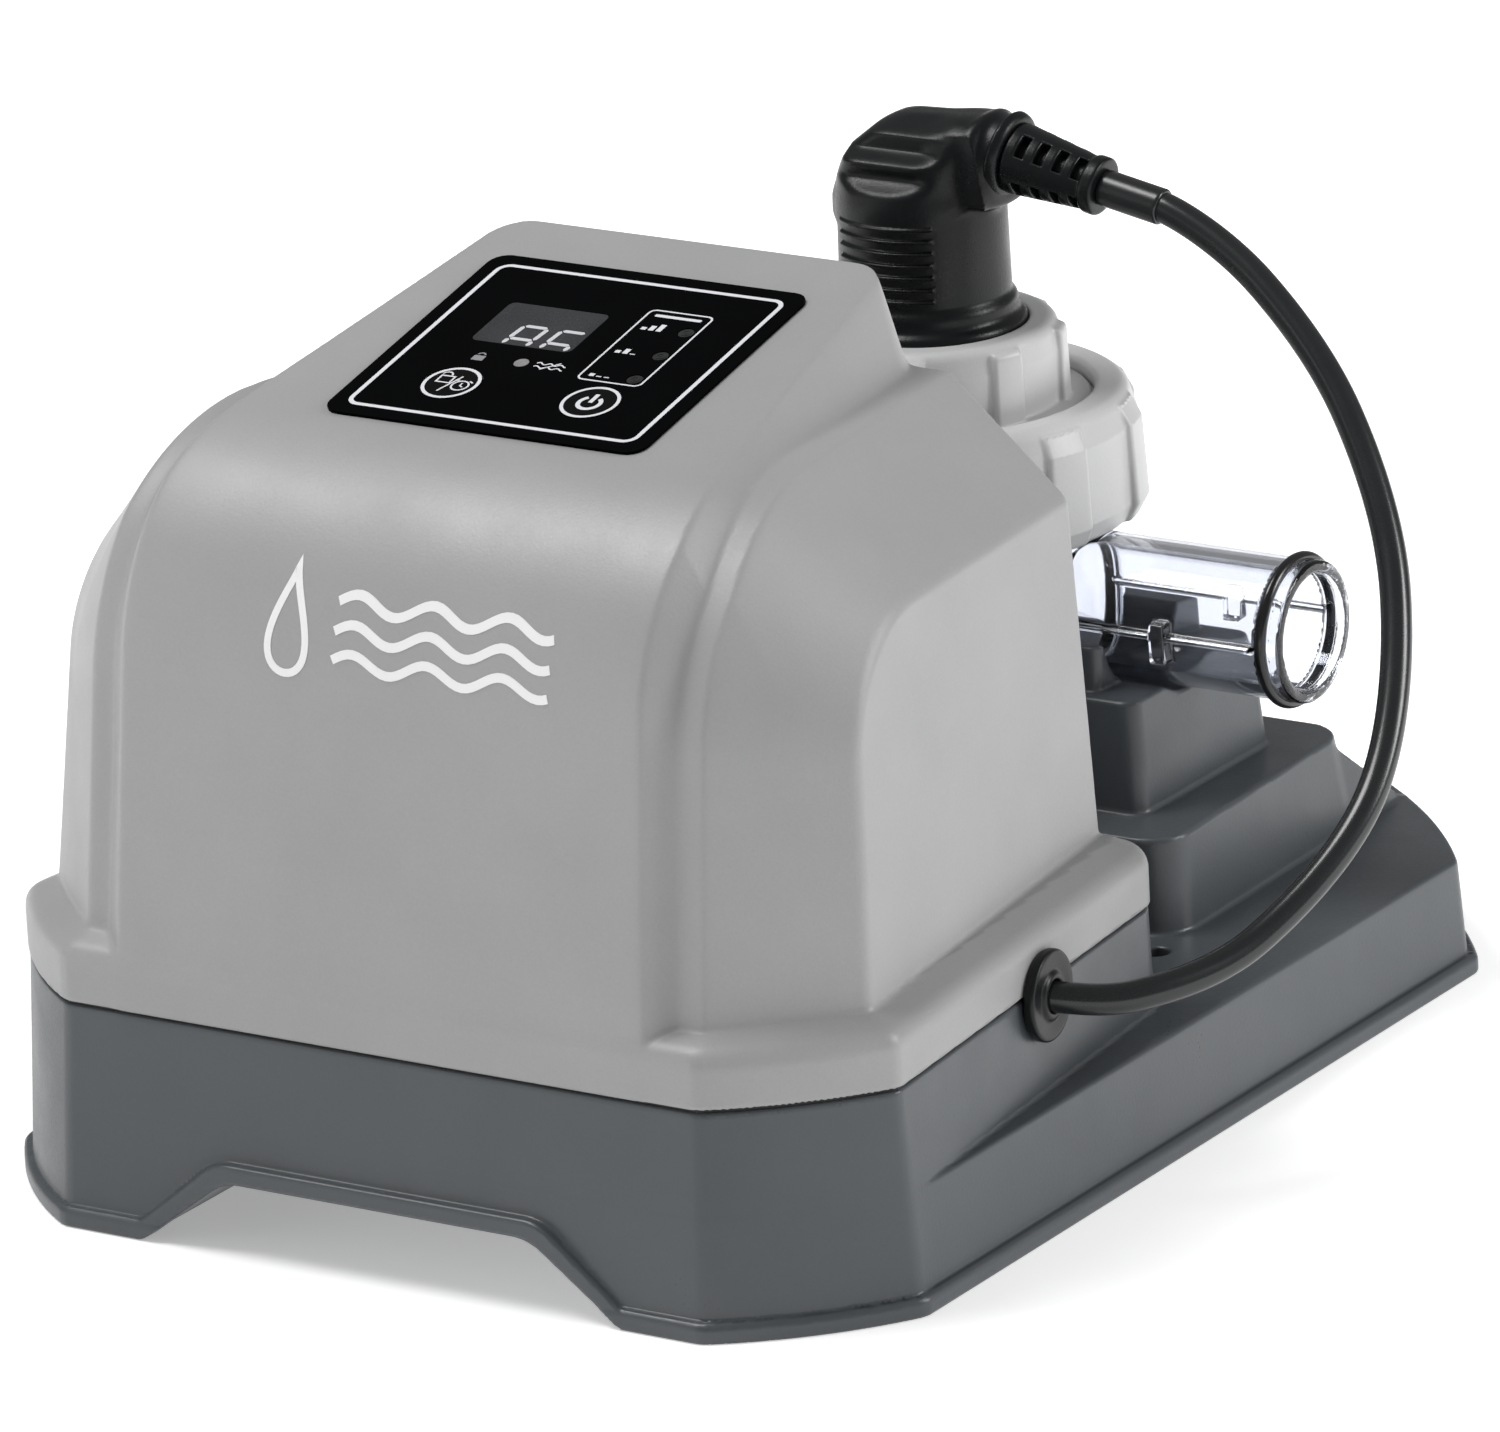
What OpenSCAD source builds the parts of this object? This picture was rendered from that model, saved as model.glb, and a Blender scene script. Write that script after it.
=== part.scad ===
// Salt chlorine generator for a pool: floor base, control housing, clear flow cell with
// a screwed electrode head, and a screwed angled plug on a short cell cable.
// Front faces -Y, up is +Z, all lengths in millimetres. Origin: centre of the footprint on the floor.

/* [Base] */
// half width of the base over its rim
base_hw = 138; // [134:0.5:142]
// half depth of the base over its rim
base_hd = 190; // [186:0.5:196]
// height of the rear deck above the floor
deck_z = 31.5; // [30:0.5:33]
// top of the front plinth, where the housing sits
plinth_z = 58.5; // [56:0.5:60]
// wall thickness of the mouldings
wall = 3; // [2.4:0.1:3.6]
// height of the finger notch in the front edge
notch_h = 19.5; // [14:0.5:22]
// radius of the two fixing holes in the deck
fix_r = 3.75; // [2.5:0.25:4.5]
// half spacing of the two fixing holes
fix_x = 97; // [95:0.5:99]

/* [Housing] */
// lower edge of the housing
cover_z = 60; // [59.6:0.1:61]
// height of the rear top edge
top_z = 228; // [224:0.5:232]
// radius of the big front-to-top curve of the raised band
band_r = 60; // [50:1:64]
// slope of the control panel
pan_slope = 12.5; // [11.5:0.1:13.5]
// half width of the raised band at its foot
band_hw = 79; // [77:0.5:81]

/* [Control panel] */
// width of the overlay
pan_w = 96; // [94:0.5:98]
// length of the overlay up the slope
pan_l = 85; // [83:0.5:87]
// radius of the two touch keys
key_r = 8; // [7:0.25:8.5]
// key stroke
key_stroke = 0.4; // [0.3:0.05:0.5]

/* [Flow cell] */
// height of the tube axis
tube_z = 104.8; // [104:0.2:106]
// outer radius of the hose ports
tube_r = 19; // [18.5:0.1:19.4]
// bore radius of the hose ports
bore_r = 15.8; // [14:0.2:16.2]
// distance of each port's end from the middle
tube_x = 115.6; // [112:0.2:118]
// distance of the cell axis behind the origin
cell_y = 88; // [87:0.5:89]
// outer radius of the clear chamber
chamber_r = 48.2; // [47:0.2:48.6]

/* [Plug and cable] */
// radius of the cell cable
cable_r = 4.1; // [3.6:0.1:4.3]
// downward tilt of the plug's outlet
outlet_tilt = 11; // [9:0.5:13]

/* [Hidden] */
eps = 0.01;
tp = tan(pan_slope);
band_rear = -19.7;
pan_y = -82;
pan_z = top_z + (pan_y - band_rear) * tp;
grom_y = -69.5;
grom_x = 125;
grom_z = 57.2;
grom_a = 5.6;
gland_x = -102;

// ---- outlines -------------------------------------------------------------------------------

// a shallow arc from p to q that bulges outward by s
function bow(p, q, s, n) = [for (i = [0 : n])
  let (t = i / n, d = q - p, k = 4 * s * t * (1 - t) / norm(d)) [p[0] + d[0] * t + d[1] * k, p[1] + d[1] * t - d[0] * k]];

function arc(c, r, a0, a1, n) = [for (i = [0 : n])
  let (a = a0 + (a1 - a0) * i / n) [c[0] + r * cos(a), c[1] + r * sin(a)]];

function flip(pts) = [for (i = [len(pts) - 1 : -1 : 0]) [-pts[i][0], pts[i][1]]];

// the base seen from above, drawn in by t all round
function foot_right(t) = concat(
  bow([97 - 0.414 * t, -base_hd + t], [base_hw - t, -149 + 0.414 * t], 3.4, 6),
  bow([base_hw - t, 129.5 - 0.414 * t], [73 - 0.414 * t, base_hd - t], 4.6, 6));
function foot(t) = concat(foot_right(t), flip(foot_right(t)));

// the plinth and the housing's skirt seen from above, drawn in by t
function skirt_right(t) = concat(
  bow([95.6 - 0.414 * t, -184.3 + t], [132.8 - t, -148.6 + 0.414 * t], 2.6, 6),
  arc([109.6, -8.4], 10 - t, 5, 90, 5));
function skirt(t) = concat(skirt_right(t), flip(skirt_right(t)));

function plinth_foot_right(t) = concat(
  bow([96.6 - 0.414 * t, -187.6 + t], [135.6 - t, -148.2 + 0.414 * t], 3.2, 6),
  arc([110.6, -8.4], 10 - t, 5, 90, 5));
function plinth_foot(t) = concat(plinth_foot_right(t), flip(plinth_foot_right(t)));

module slab(pts, z) {
  translate([0, 0, z])
    linear_extrude(eps)
      polygon(pts);
}

// rectangle with rounded corners, centred
module rbox(w, l, r, h) {
  linear_extrude(h)
    polygon(concat(arc([w / 2 - r, l / 2 - r], r, 0, 90, 5), arc([r - w / 2, l / 2 - r], r, 90, 180, 5),
      arc([r - w / 2, r - l / 2], r, 180, 270, 5), arc([w / 2 - r, r - l / 2], r, 270, 360, 5)));
}

// ---- base -----------------------------------------------------------------------------------

// rounded block seen from above, half width x at the front and xr at the rear
function block_outline(x, y0, y1, r, xr) = let (b = is_undef(xr) ? x : xr) concat(
  arc([x - r, y0 + r], r, 270, 360, 5), arc([b - r, y1 - r], r, 0, 90, 5),
  arc([r - b, y1 - r], r, 90, 180, 5), arc([r - x, y0 + r], r, 180, 270, 5));

module notch_prism(g, y0, y1) {
  translate([0, y1, 0])
    rotate([90, 0, 0])
      linear_extrude(y1 - y0)
        polygon([[-74 - g * 1.4, -1], [-46.2 - g * 0.6, notch_h + g], [46.2 + g * 0.6, notch_h + g], [74 + g * 1.4, -1]]);
}

posts = [[84, -176.5], [84, -10.5]];

module base_outside() {
  linear_extrude(3.8)
    polygon(foot(0));
  linear_extrude(4.6)
    polygon(foot(0.7));
  linear_extrude(5.2)
    polygon(foot(1.6));
  hull() {
    slab(foot(2.4), 5);
    slab(foot(4.6), deck_z - eps);
  }
  hull() {
    slab(plinth_foot(0), 5);
    slab(skirt(0.5), plinth_z - eps);
  }
  // drafted lower block of the cell stand
  hull() {
    slab(block_outline(97.8, 41, 148, 12, 94.5), deck_z - 1);
    slab(block_outline(95.8, 43, 145.5, 11, 91), 57.5 - eps);
  }
  // ramp behind the lower block
  hull() {
    slab([[-94.5, 110], [94.5, 110], [94.5, 168.7], [-94.5, 168.7]], deck_z - 1);
    slab([[-91.1, 110], [91.1, 110], [91.1, 134.9], [-91.1, 134.9]], 56.7);
  }
  // upper block with the ledge
  hull() {
    slab(block_outline(78.5, 58.3, 127, 5), 57);
    slab(block_outline(76, 60, 124.8, 4.5), 88 - eps);
  }
  // raised ears around the chamber
  translate([0, 0, 87])
    linear_extrude(13.4)
      polygon(block_outline(63, 64, 121, 3));
  // rim that follows the notch
  intersection() {
    notch_prism(5, -base_hd, -184);
    translate([-100, -base_hd, 0])
      cube([200, 6, 40]);
  }
}

module base_inside() {
  hull() {
    slab(foot(2.4 + wall), -0.1);
    slab(foot(4.6 + wall), deck_z - wall);
  }
  hull() {
    slab(plinth_foot(wall), 5);
    slab(skirt(0.5 + wall), plinth_z + 0.1);
  }
  translate([0, 0, deck_z - wall - 0.1])
    linear_extrude(57.6 - deck_z)
      polygon(block_outline(95.8 - wall, 43 + wall, 145.5 - wall, 8, 91 - wall));
}

module base() {
  color([0.29, 0.31, 0.33])
    difference() {
      union() {
        difference() {
          base_outside();
          base_inside();
        }
        // screw posts under the housing and under the deck
        for (s = [-1, 1]) for (p = posts)
          translate([s * p[0], p[1], 5.2])
            cylinder(r = 5, h = 50, $fn = 24);
        for (s = [-1, 1]) for (y = [20, 150])
          translate([s * 112, y - (y > 100 ? 6 : 0), 5.2])
            cylinder(r = 4.5, h = deck_z - wall - 4, $fn = 24);
        // webs that tie the front posts to the wall
        for (s = [-1, 1])
          translate([s * 84 - 1.5, -185.5, 5.2])
            cube([3, 9, 50]);
        for (s = [-1, 1])
          translate([s * 84 - 1.5, -10, 5.2])
            cube([3, 10, 50]);
      }
      notch_prism(0, -base_hd - 1, -176);
      // screw holes in the posts
      for (s = [-1, 1]) for (p = posts)
        translate([s * p[0], p[1], 5])
          cylinder(r = 2.2, h = 60, $fn = 24);
      for (s = [-1, 1]) for (y = [20, 144])
        translate([s * 112, y, 5])
          cylinder(r = 1.6, h = 16, $fn = 24);
      // fixing holes in the deck
      for (s = [-1, 1])
        translate([s * fix_x, 32.3, 20])
          cylinder(r = fix_r, h = 20, $fn = 48);
      // seat for the chamber and trough for the two tube arms
      translate([0, cell_y, 81.9])
        cylinder(r = 50, h = 30, $fn = 96);
      translate([-90, cell_y, tube_z])
        rotate([0, 90, 0])
          cylinder(r = 20.4, h = 180, $fn = 64);
      // mains gland hole in the rear wall of the plinth, above the deck
      translate([gland_x, -10, 44])
        rotate([-90, 0, 0])
          cylinder(r = 8.1, h = 20, $fn = 48);
      // half round cut for the cable grommet
      translate([grom_x, grom_y, grom_z])
        rotate([0, 90, grom_a])
          translate([0, 0, -8])
            cylinder(r = 9.2, h = 16, $fn = 48);
    }
}

module base_plate() {
  color([0.22, 0.24, 0.25])
    difference() {
      translate([0, 0, 2.4])
        linear_extrude(2.4)
          polygon(foot(6.2));
      // open behind the notch
      translate([-90, -200, 0])
        cube([180, 68, 10]);
      for (s = [-1, 1]) for (y = [20, 144])
        translate([s * 112, y, 0])
          cylinder(r = 2, h = 10, $fn = 24);
      for (s = [-1, 1]) for (p = posts)
        translate([s * p[0], p[1], 0])
          cylinder(r = 5.5, h = 10, $fn = 24);
      // slots that let air in
      for (i = [-4 : 4])
        translate([i * 14 - 2, -60, 0])
          cube([4, 40, 10]);
    }
}

foot_pts = [[104, -140], [112, 100], [-104, -140], [-112, 100]];

module rubber_feet() {
  color([0.08, 0.08, 0.08])
    for (p = foot_pts)
      translate([p[0], p[1], 0])
        cylinder(r = 9, h = 2.3, $fn = 32);
}

module plate_screws() {
  color([0.6, 0.6, 0.6])
    for (s = [-1, 1]) for (y = [20, 144])
      translate([s * 112, y, 0]) {
        translate([0, 0, 0.8])
          cylinder(r = 3.2, h = 1.5, $fn = 24);
        translate([0, 0, 2.2])
          cylinder(r = 1.5, h = 16, $fn = 24);
      }
}

// ---- housing --------------------------------------------------------------------------------

// front line, round and top line of a side profile, as [y, z] points
function profile(y0, z0, lean, y1, z1, slope, r, n) =
  let (s = tan(slope),
    a = (z1 - z0 - s * (y1 - y0)) / (cos(lean) - s * sin(lean)),
    turn = 90 - lean - slope,
    b = a - r * tan(turn / 2),
    cy = y0 + b * sin(lean) + r * cos(lean),
    cz = z0 + b * cos(lean) - r * sin(lean))
  concat([[y0, z0]],
    [for (i = [0 : n]) let (w = lean + turn * i / n) [cy - r * cos(w), cz + r * sin(w)]],
    [[y1, z1]]);

// half widths of the band's top edge, of the valley's outer crease and of the flat sides
function band_x(p) = band_hw - 0.02 * (p[1] - 80) - 0.142 * max(0, p[0] + 150);
function crease_x(p) = 93.5 - 0.02 * (p[1] - 60) - 0.13 * max(0, p[0] + 150);
function side_x(p) = 124.9 - 0.131 * (p[0] + 149) - (0.012 - 0.0003 * (p[0] + 6)) * (p[1] - 60);

function rear_y(z) = band_rear + (top_z - z) * 0.085;

function band_profile(t) = profile(-184.3 + t, cover_z, 6.5, band_rear, top_z - t, pan_slope, band_r - t, 12);
function recess_profile(t) = profile(-177.8 + t, cover_z, 6.8, -18.4, 201 - t, -0.6, 66 - t, 12);
function side_profile(t) = profile(-148 + t, cover_z, 6, -16.4, 170.4 - t, -0.4, 37 - t, 10);

module points_hull(pts) {
  hull()
    polyhedron(points = pts, faces = [[for (i = [0 : len(pts) - 1]) i]]);
}

module body_hull(t) {
  points_hull([for (s = [-1, 1]) each concat(
    [for (p = recess_profile(t)) [s * (crease_x(p) - t), p[0], p[1]]],
    [for (p = side_profile(t)) [s * (side_x(p) - t), p[0], p[1]]],
    [[s * (side_x([-6, 60]) - t), rear_y(60), 60]])]);
}

module band_hull(t) {
  points_hull([for (s = [-1, 1]) each concat(
    [for (p = band_profile(t)) [s * (band_x(p) - t), p[0], p[1]]],
    [for (p = recess_profile(t + 1)) [s * (band_x(p) + 7.2 - t), p[0], p[1]]])]);
}

module cover_outside() {
  body_hull(0);
  band_hull(0);
  // skirt with its rounded ledge
  translate([0, 0, cover_z])
    linear_extrude(11.6)
      polygon(skirt(0));
  hull() {
    slab(skirt(0), cover_z + 11.5);
    slab(skirt(1.2), cover_z + 14);
    slab(skirt(8.2), cover_z + 17.2);
  }
}

module cover_inside() {
  translate([0, 0, -0.05])
    body_hull(wall);
  translate([0, 0, -0.05])
    band_hull(wall);
  translate([0, 0, cover_z - 1])
    linear_extrude(14)
      polygon(skirt(wall));
}

module on_panel() {
  translate([0, pan_y, pan_z])
    rotate([pan_slope, 0, 0])
      children();
}

led_pts = [[25.7, 16.7], [25.7, 4.3], [25.7, -8.2], [-8.7, -7.9]];

module cover() {
  color([0.66, 0.66, 0.66])
    difference() {
      union() {
        difference() {
          cover_outside();
          difference() {
            cover_inside();
            // the rear wall stays
            translate([-150, 0, 0])
              rotate([4.86, 0, 0])
                translate([0, -3.3, 0])
                  cube([300, 30, 240]);
          }
        }
        for (s = [-1, 1]) for (p = posts)
          translate([s * p[0], p[1], cover_z + 0.4])
            cylinder(r = 5, h = 18, $fn = 24);
      }
      for (s = [-1, 1]) for (p = posts)
        translate([s * p[0], p[1], cover_z])
          cylinder(r = 1.6, h = 16, $fn = 24);
      // well under the overlay for the display, the lamps and the keys
      on_panel()
        translate([0, 0, -8])
          rbox(76, 68, 3, 12);
      // half round cut for the cable grommet
      translate([grom_x, grom_y, grom_z])
        rotate([0, 90, grom_a])
          translate([0, 0, -8])
            cylinder(r = 9.2, h = 16, $fn = 48);
    }
}

module cover_gasket() {
  color([0.1, 0.1, 0.1])
    difference() {
      translate([0, 0, plinth_z + 0.05])
        linear_extrude(cover_z - plinth_z - 0.1)
          difference() {
            polygon(skirt(1.3));
            polygon(skirt(2.9));
          }
      translate([grom_x, grom_y, grom_z])
        rotate([0, 90, grom_a])
          translate([0, 0, -8])
            cylinder(r = 9.6, h = 16, $fn = 48);
    }
}

module cover_screws() {
  color([0.6, 0.6, 0.6])
    for (s = [-1, 1]) for (p = posts)
      translate([s * p[0], p[1], 0]) {
        translate([0, 0, 3])
          cylinder(r = 3.4, h = 2.1, $fn = 24);
        translate([0, 0, 5])
          cylinder(r = 1.5, h = 69, $fn = 24);
      }
}

// ---- control panel --------------------------------------------------------------------------

module panel_overlay() {
  color([0.03, 0.03, 0.035])
    on_panel()
      difference() {
        translate([0, 0, 0.05])
          rbox(pan_w, pan_l, 5, 0.8);
        for (s = [-1, 1])
          translate([s * 21, -22, -1])
            cylinder(r = key_r + 0.2, h = 4, $fn = 64);
        translate([-14.2, 10, -1])
          rbox(30.6, 20.6, 2, 4);
        for (p = led_pts)
          translate([p[0], p[1], -1])
            cylinder(r = 2.3, h = 4, $fn = 24);
      }
}

module display_window() {
  color([0.2, 0.2, 0.22, 0.6])
    on_panel()
      translate([-14.2, 10, -0.9])
        rbox(30.3, 20.3, 1.9, 1.7);
}

module display_digits() {
  color([0.12, 0.12, 0.13])
    on_panel()
      translate([-14.2, 10, -14.3])
        translate([-14.5, -9.5, 0])
          cube([29, 19, 13.2]);
}

module status_leds() {
  color([0.8, 0.8, 0.78])
    on_panel()
      for (p = led_pts)
        translate([p[0], p[1], -14.3])
          cylinder(r = 2.1, h = 15, $fn = 24);
}

module touch_key(s) {
  on_panel()
    translate([s * 21, -22, 0]) {
      translate([0, 0, -0.3])
        cylinder(r = key_r, h = 1.25, $fn = 64);
      translate([0, 0, -8.7])
        cylinder(r = 2.2, h = 8.6, $fn = 32);
    }
}

module timer_key() {
  color([0.04, 0.04, 0.045])
    touch_key(-1);
}

module power_key() {
  color([0.04, 0.04, 0.045])
    touch_key(1);
}

module control_board() {
  color([0.08, 0.3, 0.16])
    on_panel()
      difference() {
        translate([0, -4, -16])
          rbox(88, 84, 2, 1.6);
        for (s = [-1, 1]) for (v = [-42, 34])
          translate([s * 40, v, -20])
            cylinder(r = 1.7, h = 10, $fn = 24);
      }
}

module key_switches() {
  color([0.15, 0.15, 0.15])
    on_panel()
      for (s = [-1, 1])
        translate([s * 21, -22, 0]) {
          translate([-3, -3, -14.3])
            cube([6, 6, 3.5]);
          translate([0, 0, -10.5 - key_stroke])
            cylinder(r = 1.7, h = 1.7, $fn = 24);
        }
}

module board_screws() {
  color([0.6, 0.6, 0.6])
    on_panel()
      for (s = [-1, 1]) for (v = [-42, 34])
        translate([s * 40, v, 0]) {
          translate([0, 0, -18.2])
            cylinder(r = 3, h = 2.1, $fn = 24);
          translate([0, 0, -16.2])
            cylinder(r = 1.5, h = 6, $fn = 24);
          // spacer up to the underside of the housing
          translate([0, 0, -14.3])
            cylinder(r = 3, h = 11, $fn = 24);
        }
}

// ---- inside the base ------------------------------------------------------------------------

module power_supply() {
  color([0.55, 0.56, 0.57])
    difference() {
      translate([-62, -130, 5])
        cube([124, 74, 46]);
      for (i = [-5 : 5])
        translate([i * 10 - 1.5, -131, 42])
          cube([3, 76, 10]);
    }
}

module supply_screws() {
  color([0.6, 0.6, 0.6])
    for (s = [-1, 1]) for (y = [-118, -68])
      translate([s * 66, y, 5]) {
        cylinder(r = 3, h = 4, $fn = 24);
      }
}

module mains_gland() {
  color([0.06, 0.06, 0.06])
    translate([gland_x, 0, 44])
      rotate([-90, 0, 0])
        difference() {
          union() {
            translate([0, 0, -7])
              cylinder(r = 8, h = 9, $fn = 48);
            translate([0, 0, 1.9])
              cylinder(r = 11, h = 5, $fn = 6);
            translate([0, 0, 6.8])
              cylinder(r = 8.5, h = 9, $fn = 48);
            translate([0, 0, -9])
              cylinder(r = 11, h = 4, $fn = 6);
          }
          translate([0, 0, -10])
            cylinder(r = 4.2, h = 30, $fn = 48);
        }
}

// ---- flow cell ------------------------------------------------------------------------------

module cell_axis() {
  translate([0, cell_y, 0])
    children();
}

module cell_housing() {
  color([0.85, 0.9, 0.95, 0.35])
    cell_axis()
      difference() {
        union() {
          translate([0, 0, 82])
            cylinder(r = chamber_r, h = 44, $fn = 96);
          translate([0, 0, 125.9])
            cylinder(r = 50, h = 24.1, $fn = 96);
          // the two hose ports
          translate([-108.2, 0, tube_z])
            rotate([0, 90, 0])
              cylinder(r = tube_r, h = 216.4, $fn = 96);
          translate([-112.3, 0, tube_z])
            rotate([0, 90, 0])
              cylinder(r = 17.6, h = 224.6, $fn = 96);
          for (s = [-1, 1])
            translate([s * (tube_x + 112.2) / 2, 0, tube_z])
              rotate([0, 90, 0])
                cylinder(r = tube_r, h = tube_x - 112.2, center = true, $fn = 96);
          // mould ribs along the ports, and their lugs
          translate([-108, -22, tube_z - 0.7])
            cube([216, 44, 1.4]);
          for (s = [-1, 1]) for (u = [-1, 1])
            translate([s * 80.5 - 2.4, u * 20.4 - 2.4, tube_z - 7])
              cube([4.8, 4.8, 11]);
        }
        translate([0, 0, 85])
          cylinder(r = 45, h = 80, $fn = 96);
        translate([-140, 0, tube_z])
          rotate([0, 90, 0])
            cylinder(r = bore_r, h = 280, $fn = 96);
      }
}

module port_o_rings() {
  color([0.05, 0.05, 0.05])
    cell_axis()
      for (s = [-1, 1])
        translate([s * 110.25, 0, tube_z])
          rotate([0, 90, 0])
            rotate_extrude($fn = 96)
              translate([19.25, 0])
                circle(r = 1.6, $fn = 20);
}

// grip ribs: n wedges of width w that keep the given revolved profile
module ribbed(n, w, z0, z1, r, low, high) {
  rotate_extrude($fn = 120)
    polygon(low);
  intersection() {
    rotate_extrude($fn = 120)
      polygon(high);
    for (i = [0 : n - 1])
      rotate([0, 0, (i + 0.5) * 360 / n])
        translate([r - 8, -w / 2, z0])
          cube([20, w, z1 - z0]);
  }
}

module cell_collar() {
  color([0.66, 0.66, 0.66])
    cell_axis()
      difference() {
        ribbed(10, 13, 123, 154, 55,
          [[43.6, 123.8], [53.4, 123.8], [55.4, 129], [54.6, 150], [52, 157.6], [50, 158.2], [43.6, 158.2]],
          [[48, 123.8], [54.8, 123.8], [57.5, 129], [56.3, 150.4], [53.4, 155.6], [48, 155.6]]);
        translate([0, 0, 120])
          cylinder(r = 50.08, h = 33, $fn = 96);
      }
}

module electrode_head() {
  color([0.78, 0.78, 0.76])
    cell_axis()
      difference() {
        rotate_extrude($fn = 96)
          polygon([[0, 130], [44.8, 130], [44.8, 139], [41.85, 139], [41.85, 143], [44.8, 143], [44.8, 150.05],
            [49.6, 150.05], [49.6, 152.8], [33, 152.8], [33, 170.6], [0, 170.6]]);
        translate([0, 0, 154])
          cylinder(r = 25, h = 30, $fn = 96);
        for (x = [-20, 20])
          translate([x, 0, 125])
            cylinder(r = 2.6, h = 40, $fn = 32);
      }
}

module head_seal() {
  color([0.05, 0.05, 0.05])
    cell_axis()
      translate([0, 0, 141])
        rotate_extrude($fn = 96)
          translate([43.42, 0])
            circle(r = 1.5, $fn = 16);
}

module electrode_plates() {
  color([0.5, 0.5, 0.52])
    cell_axis()
      for (y = [-15 : 5 : 15])
        translate([-30, y - 0.5, 88])
          cube([60, 1, 36]);
}

module electrode_posts() {
  color([0.6, 0.6, 0.62])
    cell_axis()
      for (x = [-20, 20]) {
        translate([x, 0, 124.1])
          cylinder(r = 2.4, h = 36, $fn = 32);
        translate([x - 4, -16, 124.1])
          cube([8, 32, 2.5]);
      }
}

module plate_combs() {
  color([0.9, 0.9, 0.88])
    cell_axis()
      for (x = [-31.6, 30.1])
        difference() {
          translate([x, -18, 92])
            cube([1.5, 36, 5]);
          translate([x - 1, -2, 93.5])
            cube([4, 4, 2]);
        }
}

pins = [[-9.5, 0], [9.5, 0], [0, 10]];

module socket_insert() {
  color([0.12, 0.12, 0.12])
    cell_axis()
      difference() {
        translate([0, 0, 154.1])
          cylinder(r = 24.8, h = 11.5, $fn = 64);
        for (p = pins)
          translate([p[0], p[1], 156])
            cylinder(r = 2.6, h = 20, $fn = 32);
        for (x = [-20, 20])
          translate([x, 0, 150])
            cylinder(r = 2.7, h = 10.4, $fn = 32);
      }
}

// ---- plug -----------------------------------------------------------------------------------

module plug_nut() {
  color([0.66, 0.66, 0.66])
    cell_axis()
      difference() {
        union() {
          ribbed(8, 9, 155, 175, 36,
            [[25, 153], [35, 153], [35.6, 170], [34.8, 175.6], [33.4, 177], [25, 177]],
            [[30, 153], [37.5, 153], [36.9, 173.6], [36, 175], [30, 175]]);
          translate([0, 0, 153])
            cylinder(r = 42.8, h = 2.4, $fn = 96);
        }
        translate([0, 0, 150])
          cylinder(r = 33.3, h = 23.2, $fn = 96);
        translate([0, 0, 150])
          cylinder(r = 26.78, h = 40, $fn = 96);
      }
}

module plug_body() {
  color([0.06, 0.06, 0.06])
    cell_axis() {
      rotate_extrude($fn = 96)
        polygon([[0, 166], [24.6, 166], [24.6, 170.7], [31.5, 170.7], [31.5, 173], [26.7, 173], [26.7, 178.6],
          [24.6, 183], [23.4, 185], [23, 187], [0, 187]]);
      hull() {
        translate([0, 0, 186.9])
          cylinder(r = 23, h = 1, $fn = 32);
        translate([0, 0, 205])
          cylinder(r = 22.4, h = 5, $fn = 32);
        translate([-1.5, 0, 214])
          sphere(r = 19.5, $fn = 32);
      }
      hull() {
        translate([4, 0, 219.5])
          sphere(r = 14.5, $fn = 32);
        translate([24.4, 0, 225.4])
          rotate([0, 90 + outlet_tilt, 0])
            cylinder(r = 11.6, h = 1.6, $fn = 32);
      }
      // finger ridges on the front
      intersection() {
        for (i = [0 : 6])
          translate([-14, -26, 187.5 + i * 3.3])
            cube([28, 12, 0.9]);
        cylinder(r = 23.6, h = 220, $fn = 96);
      }
    }
}

module plug_pins() {
  color([0.75, 0.62, 0.3])
    cell_axis()
      for (p = pins)
        translate([p[0], p[1], 157])
          cylinder(r = 2.4, h = 8.95, $fn = 32);
}

module at_outlet() {
  translate([26.6, cell_y, 225.1])
    rotate([0, 90 + outlet_tilt, 0])
      children();
}

module outlet_ring() {
  color([0.05, 0.05, 0.05])
    at_outlet()
      cylinder(r1 = 11.6, r2 = 10.4, h = 3.4, $fn = 48);
}

module strain_relief() {
  color([0.05, 0.05, 0.05])
    at_outlet()
      difference() {
        translate([0, 0, 3.45])
          cylinder(r1 = 9.6, r2 = 6.9, h = 27, $fn = 48);
        translate([0, 0, 3])
          cylinder(r = 4.4, h = 30, $fn = 32);
        for (k = [0 : 3]) for (a = [0 : 90 : 270])
          rotate([0, 0, a + 45])
            translate([6 - k * 0.5, -4, 7 + k * 5.6])
              cube([8, 8, 2.6]);
      }
}

module cable_sleeve() {
  color([0.07, 0.07, 0.07])
    at_outlet()
      translate([0, 0, 30.5])
        cylinder(r = 4.9, h = 18.3, $fn = 48);
}

// ---- cable ----------------------------------------------------------------------------------

// way points of the cable, from the plug round to the grommet
way = [[60.8, 86, 213.6], [75.25, 88, 215.55], [105, 84.5, 200], [137, 72.5, 171.5], [162, 51, 133], [173, 17, 91],
  [163, -25, 63.5], [147, -58, 56.6], [124, -70.2, 57], [112, -71.5, 57]];

function cubic(a, b, c, d, t) =
  0.5 * (2 * b + (c - a) * t + (2 * a - 5 * b + 4 * c - d) * t * t + (3 * b - a - 3 * c + d) * t * t * t);

path = [for (i = [1 : len(way) - 3]) each [for (k = [0 : (i == len(way) - 3 ? 6 : 5)])
  cubic(way[i - 1], way[i], way[i + 1], way[i + 2], k / 6)]];

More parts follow.
